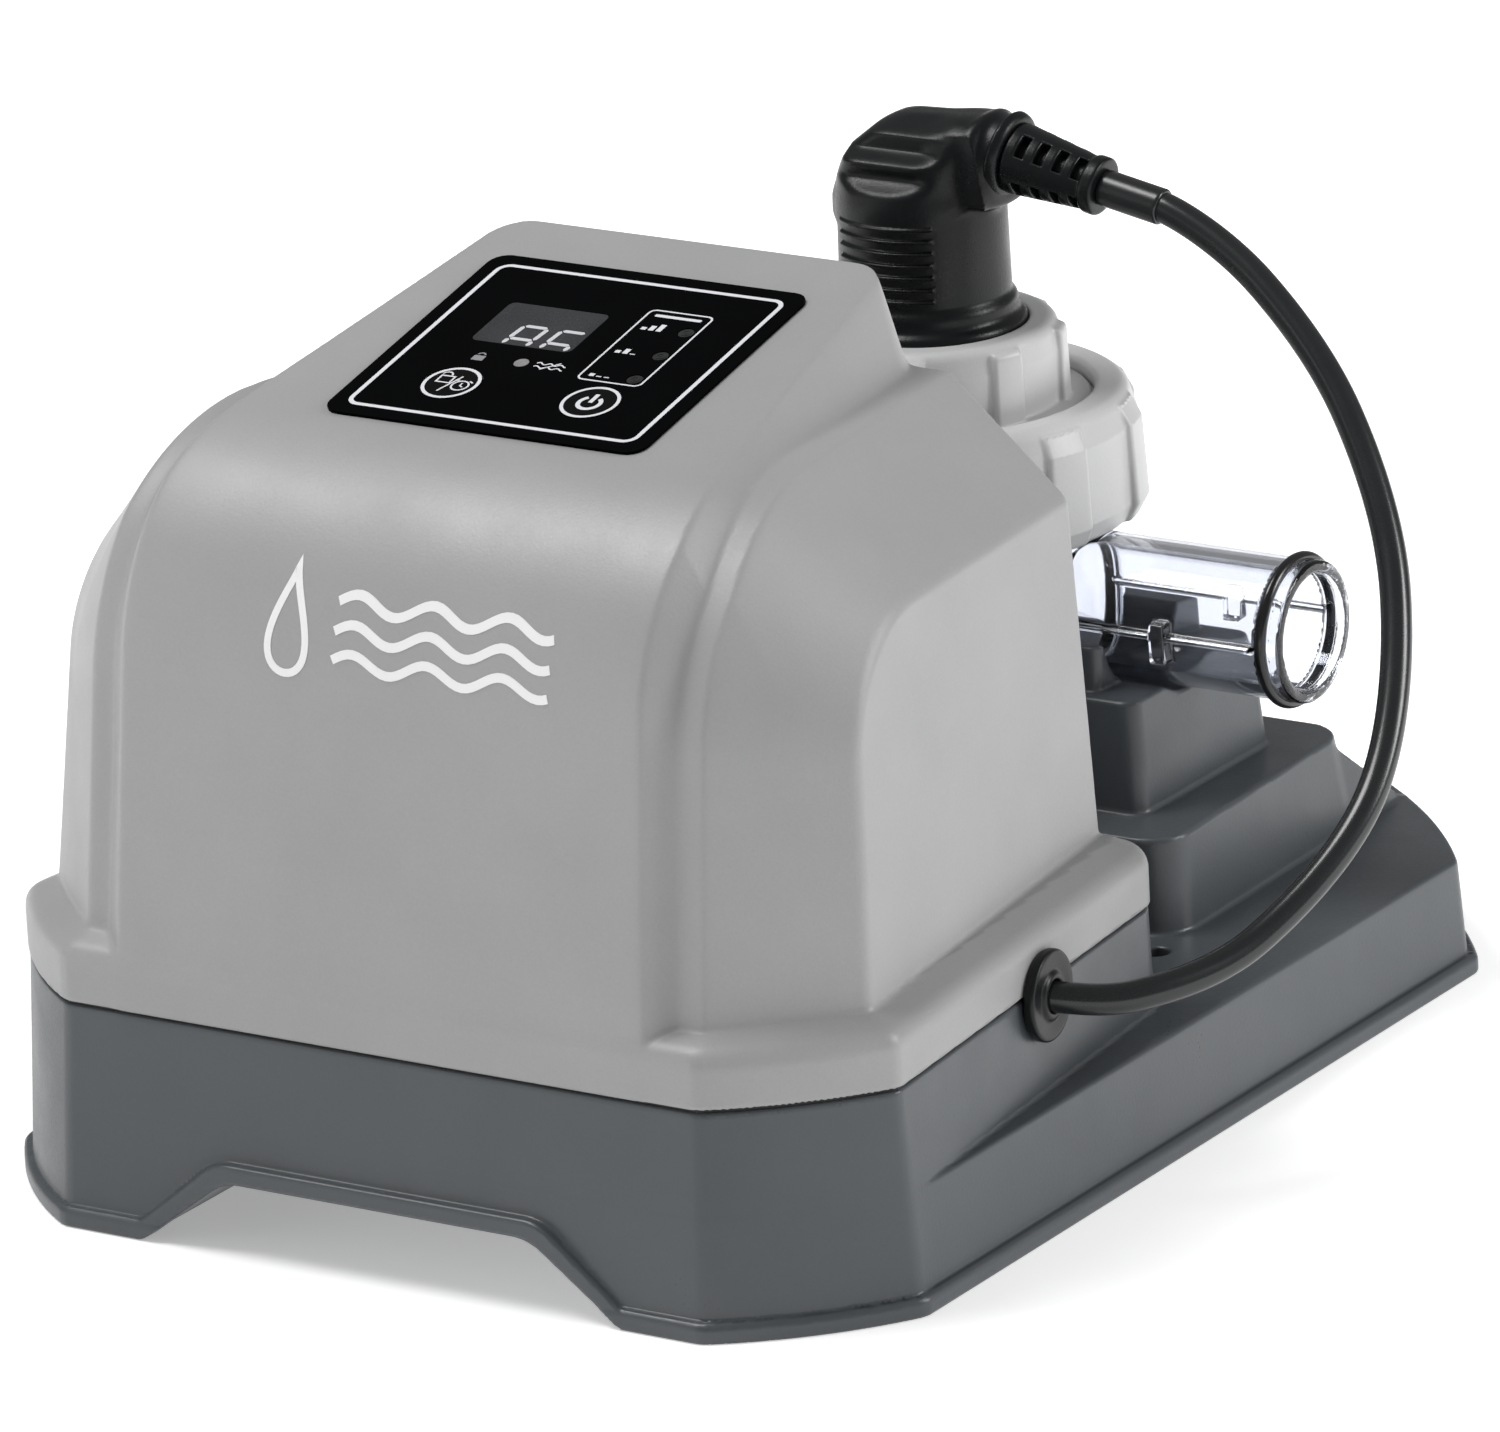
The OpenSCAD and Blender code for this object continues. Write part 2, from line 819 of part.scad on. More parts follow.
function unit(v) = v / norm(v);
function ahead(i) = unit(path[min(i + 1, len(path) - 1)] - path[max(i - 1, 0)]);
function ring_u(i) = unit(cross(ahead(i), [0.35, -0.55, -0.75]));

module cell_cable() {
  m = 12;
  n = len(path);
  color([0.06, 0.06, 0.06])
    polyhedron(
      points = [for (i = [0 : n - 1]) let (t = ahead(i), u = ring_u(i), v = cross(t, u))
        for (k = [0 : m - 1]) path[i] + cable_r * (cos(k * 360 / m) * u + sin(k * 360 / m) * v)],
      faces = concat(
        [[for (k = [m - 1 : -1 : 0]) k]],
        [for (i = [0 : n - 2]) for (k = [0 : m - 1])
          [i * m + k, i * m + (k + 1) % m, (i + 1) * m + (k + 1) % m, (i + 1) * m + k]],
        [[for (k = [0 : m - 1]) (n - 1) * m + k]]));
}

module cable_grommet() {
  color([0.05, 0.05, 0.05])
    translate([grom_x, grom_y, grom_z])
      rotate([0, 90, grom_a])
        difference() {
          union() {
            translate([0, 0, 0.9])
              cylinder(r = 12, h = 2.5, $fn = 48);
            translate([0, 0, -4])
              cylinder(r = 9, h = 5, $fn = 48);
          }
          translate([0, 0, -10])
            cylinder(r = 6.6, h = 20, $fn = 48);
        }
}

base();
base_plate();
rubber_feet();
plate_screws();
cover_gasket();
cover();
cover_screws();
panel_overlay();
display_window();
display_digits();
status_leds();
timer_key();
power_key();
control_board();
key_switches();
board_screws();
power_supply();
supply_screws();
mains_gland();
cell_housing();
port_o_rings();
cell_collar();
electrode_head();
head_seal();
electrode_plates();
electrode_posts();
plate_combs();
socket_insert();
plug_nut();
plug_body();
plug_pins();
outlet_ring();
strain_relief();
cable_sleeve();
cell_cable();
cable_grommet();
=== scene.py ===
"""Salt chlorine generator: the looks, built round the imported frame.

Lengths in the shape functions are millimetres. Each moulding is the zero surface of a field that is
negative inside, so that its edges and fillets come out rounded.
"""
import math

import bpy
import numpy as np
from mathutils import Matrix, Vector


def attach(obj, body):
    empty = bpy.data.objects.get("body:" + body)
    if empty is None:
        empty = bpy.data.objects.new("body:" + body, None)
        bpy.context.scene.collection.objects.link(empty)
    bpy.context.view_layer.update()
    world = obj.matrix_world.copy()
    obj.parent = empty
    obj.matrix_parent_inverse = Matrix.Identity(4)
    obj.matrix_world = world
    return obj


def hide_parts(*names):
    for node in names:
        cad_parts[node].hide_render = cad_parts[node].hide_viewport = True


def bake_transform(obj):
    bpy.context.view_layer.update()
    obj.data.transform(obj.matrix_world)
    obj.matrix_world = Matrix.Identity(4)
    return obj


bpy.ops.wm.read_factory_settings(use_empty=True)
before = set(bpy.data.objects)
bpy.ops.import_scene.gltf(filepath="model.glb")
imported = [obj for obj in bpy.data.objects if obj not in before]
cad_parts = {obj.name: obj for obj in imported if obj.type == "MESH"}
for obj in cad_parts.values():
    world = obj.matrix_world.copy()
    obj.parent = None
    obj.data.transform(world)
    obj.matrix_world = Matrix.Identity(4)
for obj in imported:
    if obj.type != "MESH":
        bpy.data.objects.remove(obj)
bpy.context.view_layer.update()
scene = bpy.context.scene
scene.view_settings.view_transform = "Standard"
MM = 0.001

# ---- camera ---------------------------------------------------------------------------------

AZIMUTH, ELEVATION, ROLL = (math.radians(a) for a in (33.49, 18.36, -2.94))
CAMERA_AT = (1.67806, -2.54300, 1.10408)
LENS = 294.96

level = math.cos(ELEVATION)
back = Vector((math.sin(AZIMUTH) * level, -math.cos(AZIMUTH) * level, math.sin(ELEVATION)))
flat_right = Vector((math.cos(AZIMUTH), math.sin(AZIMUTH), 0))
flat_up = back.cross(flat_right)
right = flat_right * math.cos(ROLL) + flat_up * math.sin(ROLL)
up = flat_up * math.cos(ROLL) - flat_right * math.sin(ROLL)
camera_data = bpy.data.cameras.new("camera")
camera_data.lens, camera_data.sensor_width = LENS, 36
camera_data.clip_start, camera_data.clip_end = 0.1, 60
camera = bpy.data.objects.new("camera", camera_data)
camera.matrix_world = Matrix.Translation(CAMERA_AT) @ Matrix((right, up, back)).transposed().to_4x4()
scene.collection.objects.link(camera)
scene.camera = camera


# ---- meshes ---------------------------------------------------------------------------------

def new_piece(name, points, faces, body, mat, normals=None, replaces=()):
    """A smooth mesh of quads (or of polygons in lists), in metres, riding on body."""
    mesh = bpy.data.meshes.new(name)
    points = np.asarray(points, float) * MM
    if isinstance(faces, np.ndarray):
        n = faces.shape[1]
        mesh.vertices.add(len(points))
        mesh.vertices.foreach_set("co", points.astype(np.float32).ravel())
        mesh.loops.add(faces.size)
        mesh.loops.foreach_set("vertex_index", faces.astype(np.int32).ravel())
        mesh.polygons.add(len(faces))
        mesh.polygons.foreach_set("loop_start", np.arange(0, faces.size, n, dtype=np.int32))
        mesh.update(calc_edges=True)
        mesh.validate()
    else:
        mesh.from_pydata(points.tolist(), [], faces)
    mesh.shade_smooth()
    if normals is not None:
        mesh.normals_split_custom_set_from_vertices(normals.tolist())
    obj = bpy.data.objects.new(name, mesh)
    scene.collection.objects.link(obj)
    obj.data.materials.append(mat)
    if body:
        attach(obj, body)
    for node in replaces:
        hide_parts(node)
    return obj


def gradient(f, p, e=0.05):
    """The slope of the field f at the points p."""
    axes = np.eye(3) * e
    return np.stack([f(*(p + a).T) - f(*(p - a).T) for a in axes], 1) / (2 * e)


def skin(f, low, high, pitch, steep=1.5):
    """The closed surface where the field f is zero: points, quads and normals. f is negative inside."""
    low = np.array(low, float)
    count = (np.ceil((np.array(high) - low) / pitch / 4).astype(int)) * 4 + 1
    axes = [low[i] + pitch * np.arange(count[i]) for i in range(3)]
    coarse = f(*np.meshgrid(*[a[::4] for a in axes], indexing="ij"))
    near = np.abs(coarse) < 4 * pitch * 0.9 * steep
    cell = np.zeros(np.array(coarse.shape) - 1, bool)
    for corner in np.ndindex(2, 2, 2):
        cut = tuple(slice(c, c + s) for c, s in zip(corner, cell.shape))
        cell |= near[cut]
    field = coarse[:-1, :-1, :-1]
    fine = cell
    for i in range(3):
        field, fine = np.repeat(field, 4, i), np.repeat(fine, 4, i)
    field = np.pad(field, [(0, 1)] * 3, mode="edge").astype(float)
    mask = np.zeros(count, bool)
    for corner in np.ndindex(2, 2, 2):
        mask[tuple(slice(c, c + s) for c, s in zip(corner, fine.shape))] |= fine
    at = np.argwhere(mask)
    field[mask] = f(*(low + at * pitch).T)
    inside = field < 0
    total = np.zeros(count - 1, np.int8)
    for corner in np.ndindex(2, 2, 2):
        total += inside[tuple(slice(c, c + s) for c, s in zip(corner, total.shape))]
    mixed = (total > 0) & (total < 8)
    index = np.full(total.shape, -1, np.int64)
    cells = np.argwhere(mixed)
    index[mixed] = np.arange(len(cells))
    places, hits = np.zeros((len(cells), 3)), np.zeros(len(cells))
    for axis in range(3):
        step = np.eye(3, dtype=int)[axis]
        for corner in np.ndindex(2, 2, 2):
            if corner[axis]:
                continue
            a, b = cells + corner, cells + corner + step
            va, vb = field[tuple(a.T)], field[tuple(b.T)]
            crossed = (va < 0) != (vb < 0)
            t = np.where(crossed, va / np.where(va == vb, 1, va - vb), 0)
            places[crossed] += (a + t[:, None] * step)[crossed]
            hits += crossed
    points = low + places / hits[:, None] * pitch
    quads = []
    for axis in range(3):
        b, c = (axis + 1) % 3, (axis + 2) % 3
        step, step_b, step_c = (np.eye(3, dtype=int)[i] for i in (axis, b, c))
        first = inside[tuple(slice(0, -1) if i == axis else slice(None) for i in range(3))]
        second = inside[tuple(slice(1, None) if i == axis else slice(None) for i in range(3))]
        e = np.argwhere(first != second)
        e = e[(e[:, b] > 0) & (e[:, c] > 0) & (e[:, b] < count[b] - 1) & (e[:, c] < count[c] - 1)]
        q = np.stack([index[tuple((e - o).T)] for o in (step_b + step_c, step_c, step * 0, step_b)], 1)
        out = inside[tuple(e.T)]
        quads.append(np.where(out[:, None], q, q[:, ::-1]))
    for _ in range(4):
        g = gradient(f, points)
        move = -f(*points.T)[:, None] * g / np.maximum((g * g).sum(1), 0.05)[:, None]
        far = np.linalg.norm(move, axis=1, keepdims=True)
        points = points + move * np.minimum(1, pitch * 0.4 / np.maximum(far, 1e-9))
    g = gradient(f, points, 0.12)
    return points, np.concatenate(quads), g / np.maximum(np.linalg.norm(g, axis=1, keepdims=True), 1e-9)


def moulding(name, f, low, high, pitch, body, mat, replaces=(), steep=1.5):
    """A piece whose surface is where the field f is zero, inside the box from low to high."""
    points, quads, normals = skin(f, low, high, pitch, steep)
    return new_piece(name, points, quads, body, mat, normals, replaces)


# ---- fields ---------------------------------------------------------------------------------

def both(a, b, k=1.0):
    """Where a and b overlap, with the edge between them rounded over about k."""
    h = np.clip(0.5 + 0.5 * (a - b) / k, 0, 1)
    return b + (a - b) * h + k * h * (1 - h)


def either(a, b, k=1.0):
    """a and b joined, with a fillet of about k."""
    return -both(-a, -b, k)


def without(a, b, k=1.0):
    """a with b cut out of it."""
    return both(a, -b, k)


def mix(a, b, t):
    """From a to b as t goes from 0 to 1."""
    return a + (b - a) * t


def ramp(t):
    """From 0 to 1 as t does, level at both ends."""
    t = np.clip(t, 0, 1)
    return t * t * (3 - 2 * t)


def soft_ramp(t, e):
    """From 0 to 1 as t does, with both ends eased over about e."""
    return 0.5 * (np.hypot(t, e) - np.hypot(t - 1, e) + 1)


def bulge(x, y, p, q, sagitta):
    """Distance outside the shallow arc from p to q that bulges outward by sagitta."""
    length = math.hypot(q[0] - p[0], q[1] - p[1])
    radius = (length ** 2 / 4 + sagitta ** 2) / (2 * sagitta)
    out = ((q[1] - p[1]) / length, -(q[0] - p[0]) / length)
    reach = radius - sagitta
    cx, cy = (p[0] + q[0]) / 2 - out[0] * reach, (p[1] + q[1]) / 2 - out[1] * reach
    return np.minimum(np.hypot(x - cx, y - cy) - radius, line(x, y, p, q))


def corner(a, b, r):
    """A corner of radius r between two faces, where a and b are the distances outside them plus r."""
    return np.hypot(np.maximum(a, 0), np.maximum(b, 0)) + np.minimum(np.maximum(a, b), 0) - r


def line(x, y, p, q):
    """Distance to the right of the line from p to q."""
    length = math.hypot(q[0] - p[0], q[1] - p[1])
    return ((x - p[0]) * (q[1] - p[1]) - (y - p[1]) * (q[0] - p[0])) / length


def rounded(u, v, half_u, half_v, r):
    """A rectangle with corner radius r, centred."""
    return corner(np.abs(u) - half_u + r, np.abs(v) - half_v + r, r)


BASE_HALF_X, BASE_HALF_Y = 138, 190
COVER_Z, PLINTH_Z, DECK_Z = 59.5, 58.8, 31.5
BAND_REAR_Y, BAND_TOP_Z = -19.7, 228
CELL_Y, TUBE_Z = 88.0, 104.8


def foot(x, y):
    """The base's outline on the floor, with a bowed cut across each corner."""
    x = np.abs(x)
    d = both(-y - BASE_HALF_Y, x - BASE_HALF_X, 1)
    d = both(d, bulge(x, y, (97, -BASE_HALF_Y), (BASE_HALF_X, -149), 3.4), 1.3)
    d = both(d, y - BASE_HALF_Y, 1)
    return both(d, bulge(x, y, (BASE_HALF_X, 129.5), (73, BASE_HALF_Y), 4.6), 1.3)


def housing_outline(x, y, p, q, sagitta, rear_x):
    """A plan of the housing: its front, a bowed cut from p to q, tapering sides and round rear corners."""
    x, rear_y, r = np.abs(x), 1.6, 10
    side = line(x, y, q, (rear_x + 9.96, -7.53))
    d = both(-y + p[1], side, 1)
    d = both(d, bulge(x, y, p, q, sagitta), 1.4)
    return np.maximum(d, corner(side + r, y - rear_y + r, r))


def skirt(x, y):
    """The outline of the cover's skirt."""
    return housing_outline(x, y, (95.6, -184.3), (132.8, -148.6), 2.6, 109.6)


def plinth_foot(x, y):
    """The outline of the base's front plinth at its foot."""
    return housing_outline(x, y, (96.6, -187.6), (135.6, -148.2), 3.2, 110.6)


def shoulder(y, z, y0, z0, lean, y1, z1, slope, r):
    """A front wall that leans back, a round of radius r, and a sloping top."""
    sl, cl, ss, cs = (g(math.radians(a)) for a in (lean, slope) for g in (math.sin, math.cos))
    front = -(y - y0) * cl + (z - z0) * sl
    top = -(y - y1) * ss + (z - z1) * cs
    # the centre is r inside both lines
    centre = np.linalg.solve([[-cl, sl], [-ss, cs]], [-r - y0 * cl + z0 * sl, -r - y1 * ss + z1 * cs])
    qy, qz = y - centre[0], z - centre[1]
    on_round = (qy * sl + qz * cl > 0) & (-qy * cs - qz * ss > 0)
    return np.where(on_round, np.hypot(qy, qz) - r, np.maximum(front, top))


PANEL_SLOPE = math.radians(12.5)
PANEL_Y = -82.0
PANEL_Z = BAND_TOP_Z + (PANEL_Y - BAND_REAR_Y) * math.tan(PANEL_SLOPE)
GROMMET, GROMMET_TURN = (125, -69.5, 57.2), math.radians(5.6)


def along_grommet(x, y, z):
    """Distance along and off the grommet's axis."""
    c, s = math.cos(GROMMET_TURN), math.sin(GROMMET_TURN)
    u, v = x - GROMMET[0], y - GROMMET[1]
    return u * c + v * s, np.hypot(v * c - u * s, z - GROMMET[2])


def cover_field(x, y, z):
    """The cover: a raised band over the middle, a recess and a flat side each way, and a skirt."""
    ax = np.abs(x)
    band = shoulder(y, z, -184.3, 60, 6.5, BAND_REAR_Y, BAND_TOP_Z, 12.5, 60)
    recess = shoulder(y, z, -177.8, 60, 6.8, -18.4, 201, -0.6, 66)
    side = shoulder(y, z, -148, 60, 6, -16.4, 170.4, -0.4, 37)
    behind = np.maximum(0, y + 150)
    band_x = 79 - 0.02 * (z - 80) - 0.142 * behind
    crease_x = 93.5 - 0.02 * (z - 60) - 0.13 * behind
    side_x = 124.9 - 0.131 * (y + 149) - (0.012 - 0.0003 * (y + 6)) * (z - 60)
    t = np.clip((ax - crease_x) / np.maximum(side_x - crease_x, 1), -1, 1.6)
    soft = 0.5 * (t + np.sqrt(t * t + 0.0006)) - 0.001
    flank = recess + (side - recess) * soft
    # how far outside the raised band, whose rear corners are rounded
    band_corner = 11
    out = corner(ax - band_x + band_corner, y + 18.9 + band_corner, band_corner)
    body = mix(band, flank, soft_ramp((out - 0.4) / 6.6, 0.13))
    # the bevel between band and recess is steep, so its field is eased back to a true distance
    bevel = np.clip(1 - np.abs(out - 3.7) / 4.6, 0, 1)
    body = body / (1 + 0.9 * ramp(bevel))
    body = both(body, (ax - side_x) * 0.99, 2)
    body = both(body, (y - BAND_REAR_Y - (BAND_TOP_Z - z) * 0.085) * 0.996, 2)
    sk = skirt(x, y)
    top = (z - 74 + (sk + 1.2) * 0.457) / 1.1
    ledge = np.maximum(both(sk, top, 4), z - 77.6)
    whole = either(body, ledge, 1.3)
    whole = both(whole, COVER_Z - z, 1)
    reach, off = along_grommet(x, y, z)
    return without(whole, np.maximum(off - 9.2, np.abs(reach) - 8), 1)


def block(x, y, z, half_low, half_high, y_low, y_high, z0, z1, r, k):
    """A drafted block from its foot z0 to its top z1, with half widths given as (front, rear)."""
    t = np.clip((z - z0) / (z1 - z0), 0, 1)
    front, rear = mix(half_low[0], half_high[0], t), mix(half_low[1], half_high[1], t)
    ya, yb = mix(y_low[0], y_high[0], t), mix(y_low[1], y_high[1], t)
    half = mix(front, rear, np.clip((y - ya) / (yb - ya), 0, 1))
    return both(rounded(x, y - (ya + yb) / 2, half, (yb - ya) / 2, r), z - z1, k)


def notch(x, z, grow):
    """The opening under the base's front edge, larger all round by grow."""
    x = np.abs(x)
    side = line(x, z, (46.2 + grow * 0.6, 19.5 + grow), (74 + grow * 1.4, -1))
    return both(z - 19.5 - grow, -side, 3)


def base_field(x, y, z):
    """The base: rim, wall, front plinth, notch, and the stand with its ramp and the cell's seat."""
    outline = foot(x, y)
    # rim: a rounded bead outside a shallow groove
    rim = both(outline, np.abs(z - 1.2) - 3.6 - 0.6 * np.exp(-((outline + 1.5) / 0.8) ** 2), 1.3)
    wall = both(outline + mix(2.7, 4.6, np.clip((z - 5) / 26.5, 0, 1)), z - DECK_Z, 1.3)
    plinth = mix(plinth_foot(x, y), skirt(x, y) + 0.5, np.clip((z - 5) / 53.5, 0, 1))
    d = either(rim, wall, 0.9)
    lip = both(notch(x, z, 5), np.abs(y + 186.5) - 3, 1.2)
    d = either(d, lip, 0.4)
    d = either(d, both(plinth, z - PLINTH_Z, 1), 0.8)
    stand = block(x, y, z, (97.8, 94.5), (95.8, 91), (41, 148), (43, 145.5), DECK_Z - 1, 57.5, 12, 1.3)
    t = np.clip((z - DECK_Z + 1) / 26.2, 0, 1)
    slope = both((y - 168.7 + (z - DECK_Z + 1) * 1.29) / 1.63, np.abs(x) - mix(94.5, 91.1, t), 1.3)
    stand = either(stand, both(np.maximum(slope, np.maximum(100 - y, DECK_Z - 2 - z)), z - 56.7, 1.3), 1)
    upper = block(x, y, z, (78.5, 78.5), (76, 76), (58.3, 127), (60, 124.8), 57, 88, 5, 1.3)
    stand = either(stand, upper, 1.2)
    ears = block(x, y, z, (63, 63), (63, 63), (64, 121), (64, 121), 87, 100.4, 3, 1)
    stand = either(stand, ears, 1)
    seat = np.maximum(np.hypot(x, y - CELL_Y) - 50, 81.9 - z)
    trough = np.maximum(np.hypot(y - CELL_Y, z - TUBE_Z) - 20.4, np.abs(x) - 90)
    stand = without(stand, np.minimum(seat, trough), 1)
    d = either(d, stand, 1.4)
    d = both(d, -z, 1)
    d = without(d, np.maximum(notch(x, z, 0), y + 132), 1)
    d = without(d, np.maximum(np.hypot(np.abs(x) - 97, y - 32.3) - 3.75, 6 - z), 0.8)
    d = without(d, np.maximum(np.hypot(x + 102, z - 44) - 8.1, np.abs(y) - 12), 0.5)
    d = without(d, np.maximum(outline + 6.1, z - 4.85), 0.3)
    reach, off = along_grommet(x, y, z)
    return without(d, np.maximum(off - 9.2, np.abs(reach) - 8), 1)


def polar(x, y, n, offset=0.5):
    """Radius from the cell axis, and the distance sideways from the nearest of n spokes."""
    r = np.hypot(x, y - CELL_Y)
    turn = 2 * math.pi / n
    a = np.arctan2(y - CELL_Y, x) - offset * turn
    a = (a + turn / 2) % turn - turn / 2
    return r, r * np.sin(np.clip(a, -1.5, 1.5))


def collar_field(x, y, z):
    """The big nut over the cell, with ten raised ribs."""
    r, s = polar(x, y, 10)
    low = both(r - np.interp(z, [123.8, 129, 150, 157.6], [53.4, 55.2, 54.6, 52.2]), z - 158.2, 3)
    rib = np.maximum(r - np.interp(z, [123.8, 129, 150.4, 155.6], [54.8, 57.5, 56.3, 53.6]), z - 156)
    rib = both(rib, np.abs(s) - 6.6, 1.4)
    d = both(either(low, rib, 0.9), 123.8 - z, 1.2)
    return without(without(d, np.maximum(r - 50.08, z - 153), 0.4), r - 43.6, 1.6)


def plug_nut_field(x, y, z):
    """The nut that holds the plug, with eight raised ribs and a flange."""
    r, s = polar(x, y, 8)
    low = both(r - np.interp(z, [153, 170, 177], [35, 35.4, 34.2]), z - 177, 3)
    rib = both(r - np.interp(z, [153, 173.6], [37.5, 36.9]), z - 175.4, 2.4)
    rib = both(rib, np.abs(s) - 4.6, 1.2)
    flange = both(r - 42.8, z - 155.4, 1.2)
    d = both(either(either(low, rib, 0.9), flange, 0.9), 153 - z, 0.5)
    return without(without(d, np.maximum(r - 33.3, z - 173.2), 0.4), r - 26.78, 1.2)


def clear_field(x, y, z):
    """The clear cell: a chamber and its neck, crossed by one tube with a port at each end."""
    r = np.hypot(x, y - CELL_Y)
    tube = np.hypot(y - CELL_Y, z - TUBE_Z)
    ax = np.abs(x)
    chamber = both(r - 48.2, np.abs(z - 104) - 22, 2.5)
    neck = both(r - 50, np.abs(z - 138) - 12, 1)
    port = both(tube - 19, ax - 115.6, 1.2)
    port = without(port, np.maximum(17.6 - tube, np.abs(ax - 110.25) - 2.0), 0.5)
    port = np.maximum(port, np.where(np.abs(ax - 110.25) < 2, tube - 17.6, -9))
    rib = both(np.abs(z - TUBE_Z) - 0.7, np.maximum(np.abs(y - CELL_Y) - 22, ax - 108), 0.6)
    lug = np.maximum(np.abs(ax - 80.5) - 2.4, np.abs(np.abs(y - CELL_Y) - 20.4) - 2.4)
    lug = both(lug, np.abs(z - 103.3) - 5.5, 0.8)
    d = either(either(either(chamber, neck, 1.2), port, 4), either(rib, lug, 0.6), 1)
    hollow = either(np.maximum(r - 45, 85 - z), tube - 15.8, 3)
    return without(d, hollow, 0.9)


# heights on the plug's head, and its half width at each: three steps that make the finger grips
GRIP_Z = (211, 215, 220.2, 223.4, 227.0, 230.2, 234.5, 237)
GRIP_HALF = (22.5, 22.2, 17.4, 18.4, 13.0, 13.0, 6.0, 2.0)


def stepped(z, xs, ys):
    """Runs through the points (xs, ys), level at each of them."""
    i = np.clip(np.searchsorted(xs, z) - 1, 0, len(xs) - 2)
    xs, ys = np.array(xs, float), np.array(ys, float)
    t = ramp((z - xs[i]) / (xs[i + 1] - xs[i]))
    return ys[i] + (ys[i + 1] - ys[i]) * t


OUTLET_TILT = math.radians(11)


def at_outlet(x, y, z):
    """Distance along and off the outlet's axis, and the angle round it."""
    c, s = math.cos(OUTLET_TILT), math.sin(OUTLET_TILT)
    u, w, v = x - 26.6, z - 225.1, y - CELL_Y
    return u * c - w * s, np.hypot(v, u * s + w * c), np.arctan2(v, u * s + w * c)


def plug_field(x, y, z):
    """The angled plug: a stem with grip lines, a stepped head and a short neck towards the cable."""
    r, v = np.hypot(x, y - CELL_Y), np.abs(y - CELL_Y)
    stem = both(both(r - np.interp(z, [187, 212], [22.9, 22.5]), z - 215.5, 6), 180 - z, 1)
    flange = both(r - 26.7, np.abs(z - 175.8) - 2.8, 2)
    cove = both(r - 24.4, z - 184.5, 2.5)
    lower = both(r - 24.6, np.abs(z - 171) - 5, 0.8)
    key = both(r - 31.5, np.abs(z - 171.85) - 1.15, 0.5)
    foot_part = either(either(lower, key, 0.4), either(flange, cove, 3), 0.5)
    # the head: stepped finger grips on both sides, fading out towards the outlet
    plain = np.interp(z, [211, 216, 224, 232, 237], [22.5, 20.4, 16.4, 11.5, 6.5])
    head = (v - mix(stepped(z, GRIP_Z, GRIP_HALF), plain, ramp((x - 8) / 9))) * 0.75
    left = np.hypot(np.minimum(x - 1, 0), v * 0.6)
    left = left - np.interp(z, [212, 218, 226.5, 232, 235.5], [22.5, 20.8, 16.6, 10, 5])
    head = both(head, left * 0.8, 3)
    head = both(head, either(r - 22.7, np.maximum(v - 12.4, x - 25 + (z - 225) * 0.19), 3), 2)
    head = both(head, z - 234 - 0.06 * (x + 5), 3)
    head = both(head, 206 - z + 6 * ramp((x - 8) / 14), 2.5)
    along, off, _ = at_outlet(x, y, z)
    neck = both(off - 10.6 - 0.15 * np.minimum(along, 0), np.abs(along + 1.6) - 3.2, 1.5)
    under = both(np.hypot(v, z - 219.5) - 8.6, np.abs(x - 12) - 12, 3)
    d = either(either(stem, head, 2.5), either(neck, under, 6), 4)
    d = either(d, foot_part, 1.5)
    # raised grip lines on the front and the back
    strip = np.abs((z - 187.9 + 1.65) % 3.3 - 1.65) - 0.38
    grip = np.maximum(np.maximum(strip, np.abs(z - 197.8) - 11), np.abs(x) - 14 + 0.4 * (v < 10))
    grip = both(grip, r - 23.8, 0.5)
    return either(d, np.maximum(grip, 10 - v), 0.5)


def relief_field(x, y, z):
    """The tapered strain relief, with four rows of slots, four slots in each."""
    along, off, angle = at_outlet(x, y, z)
    d = both(off - np.interp(along, [3.4, 28, 30.4], [9.7, 7.2, 7.3]), np.abs(along - 16.92) - 13.5, 1.4)
    end = both(off - 7.9, np.abs(along - 28.6) - 1.8, 1)
    d = either(d, end, 0.8)
    core = off - np.interp(along, [3.4, 30.4], [6.4, 5.0])
    turned = np.abs(angle % (math.pi / 2) - math.pi / 4) * off
    first, step = 8.2, 5.6
    row = first + np.clip(np.round((along - first) / step), 0, 3) * step
    slot = np.maximum(np.abs(along - row) - 1.25, turned - 3.1)
    return without(d, np.maximum(slot, -core), 0.8)


def ring_field(x, y, z):
    """The ring round the plug's outlet."""
    along, off, _ = at_outlet(x, y, z)
    return both(off - 12.0 + 0.36 * np.maximum(along - 1, 0), np.abs(along - 1.7) - 1.7, 1.6)


def sleeve_field(x, y, z):
    """The smooth sleeve where the cable leaves the strain relief."""
    along, off, _ = at_outlet(x, y, z)
    return both(off - 4.9, np.abs(along - 39.65) - 9.15, 0.8)


def grommet_field(x, y, z):
    """The cable's grommet: a dished disc, a boss and the part inside the wall."""
    along, off = along_grommet(x, y, z)
    disc = both(off - 12, np.abs(along - 2.15) - 1.55 + 0.5 * ramp((11 - off) / 6) * (along > 2), 1.1)
    boss = both(off - 6.2, np.abs(along - 2.6) - 1.8, 1.2)
    d = either(either(disc, boss, 1.2), np.maximum(off - 9, np.abs(along + 1.5) - 2.5), 0.3)
    return without(d, off - 4.25, 0.8)


# ---- materials ------------------------------------------------------------------------------

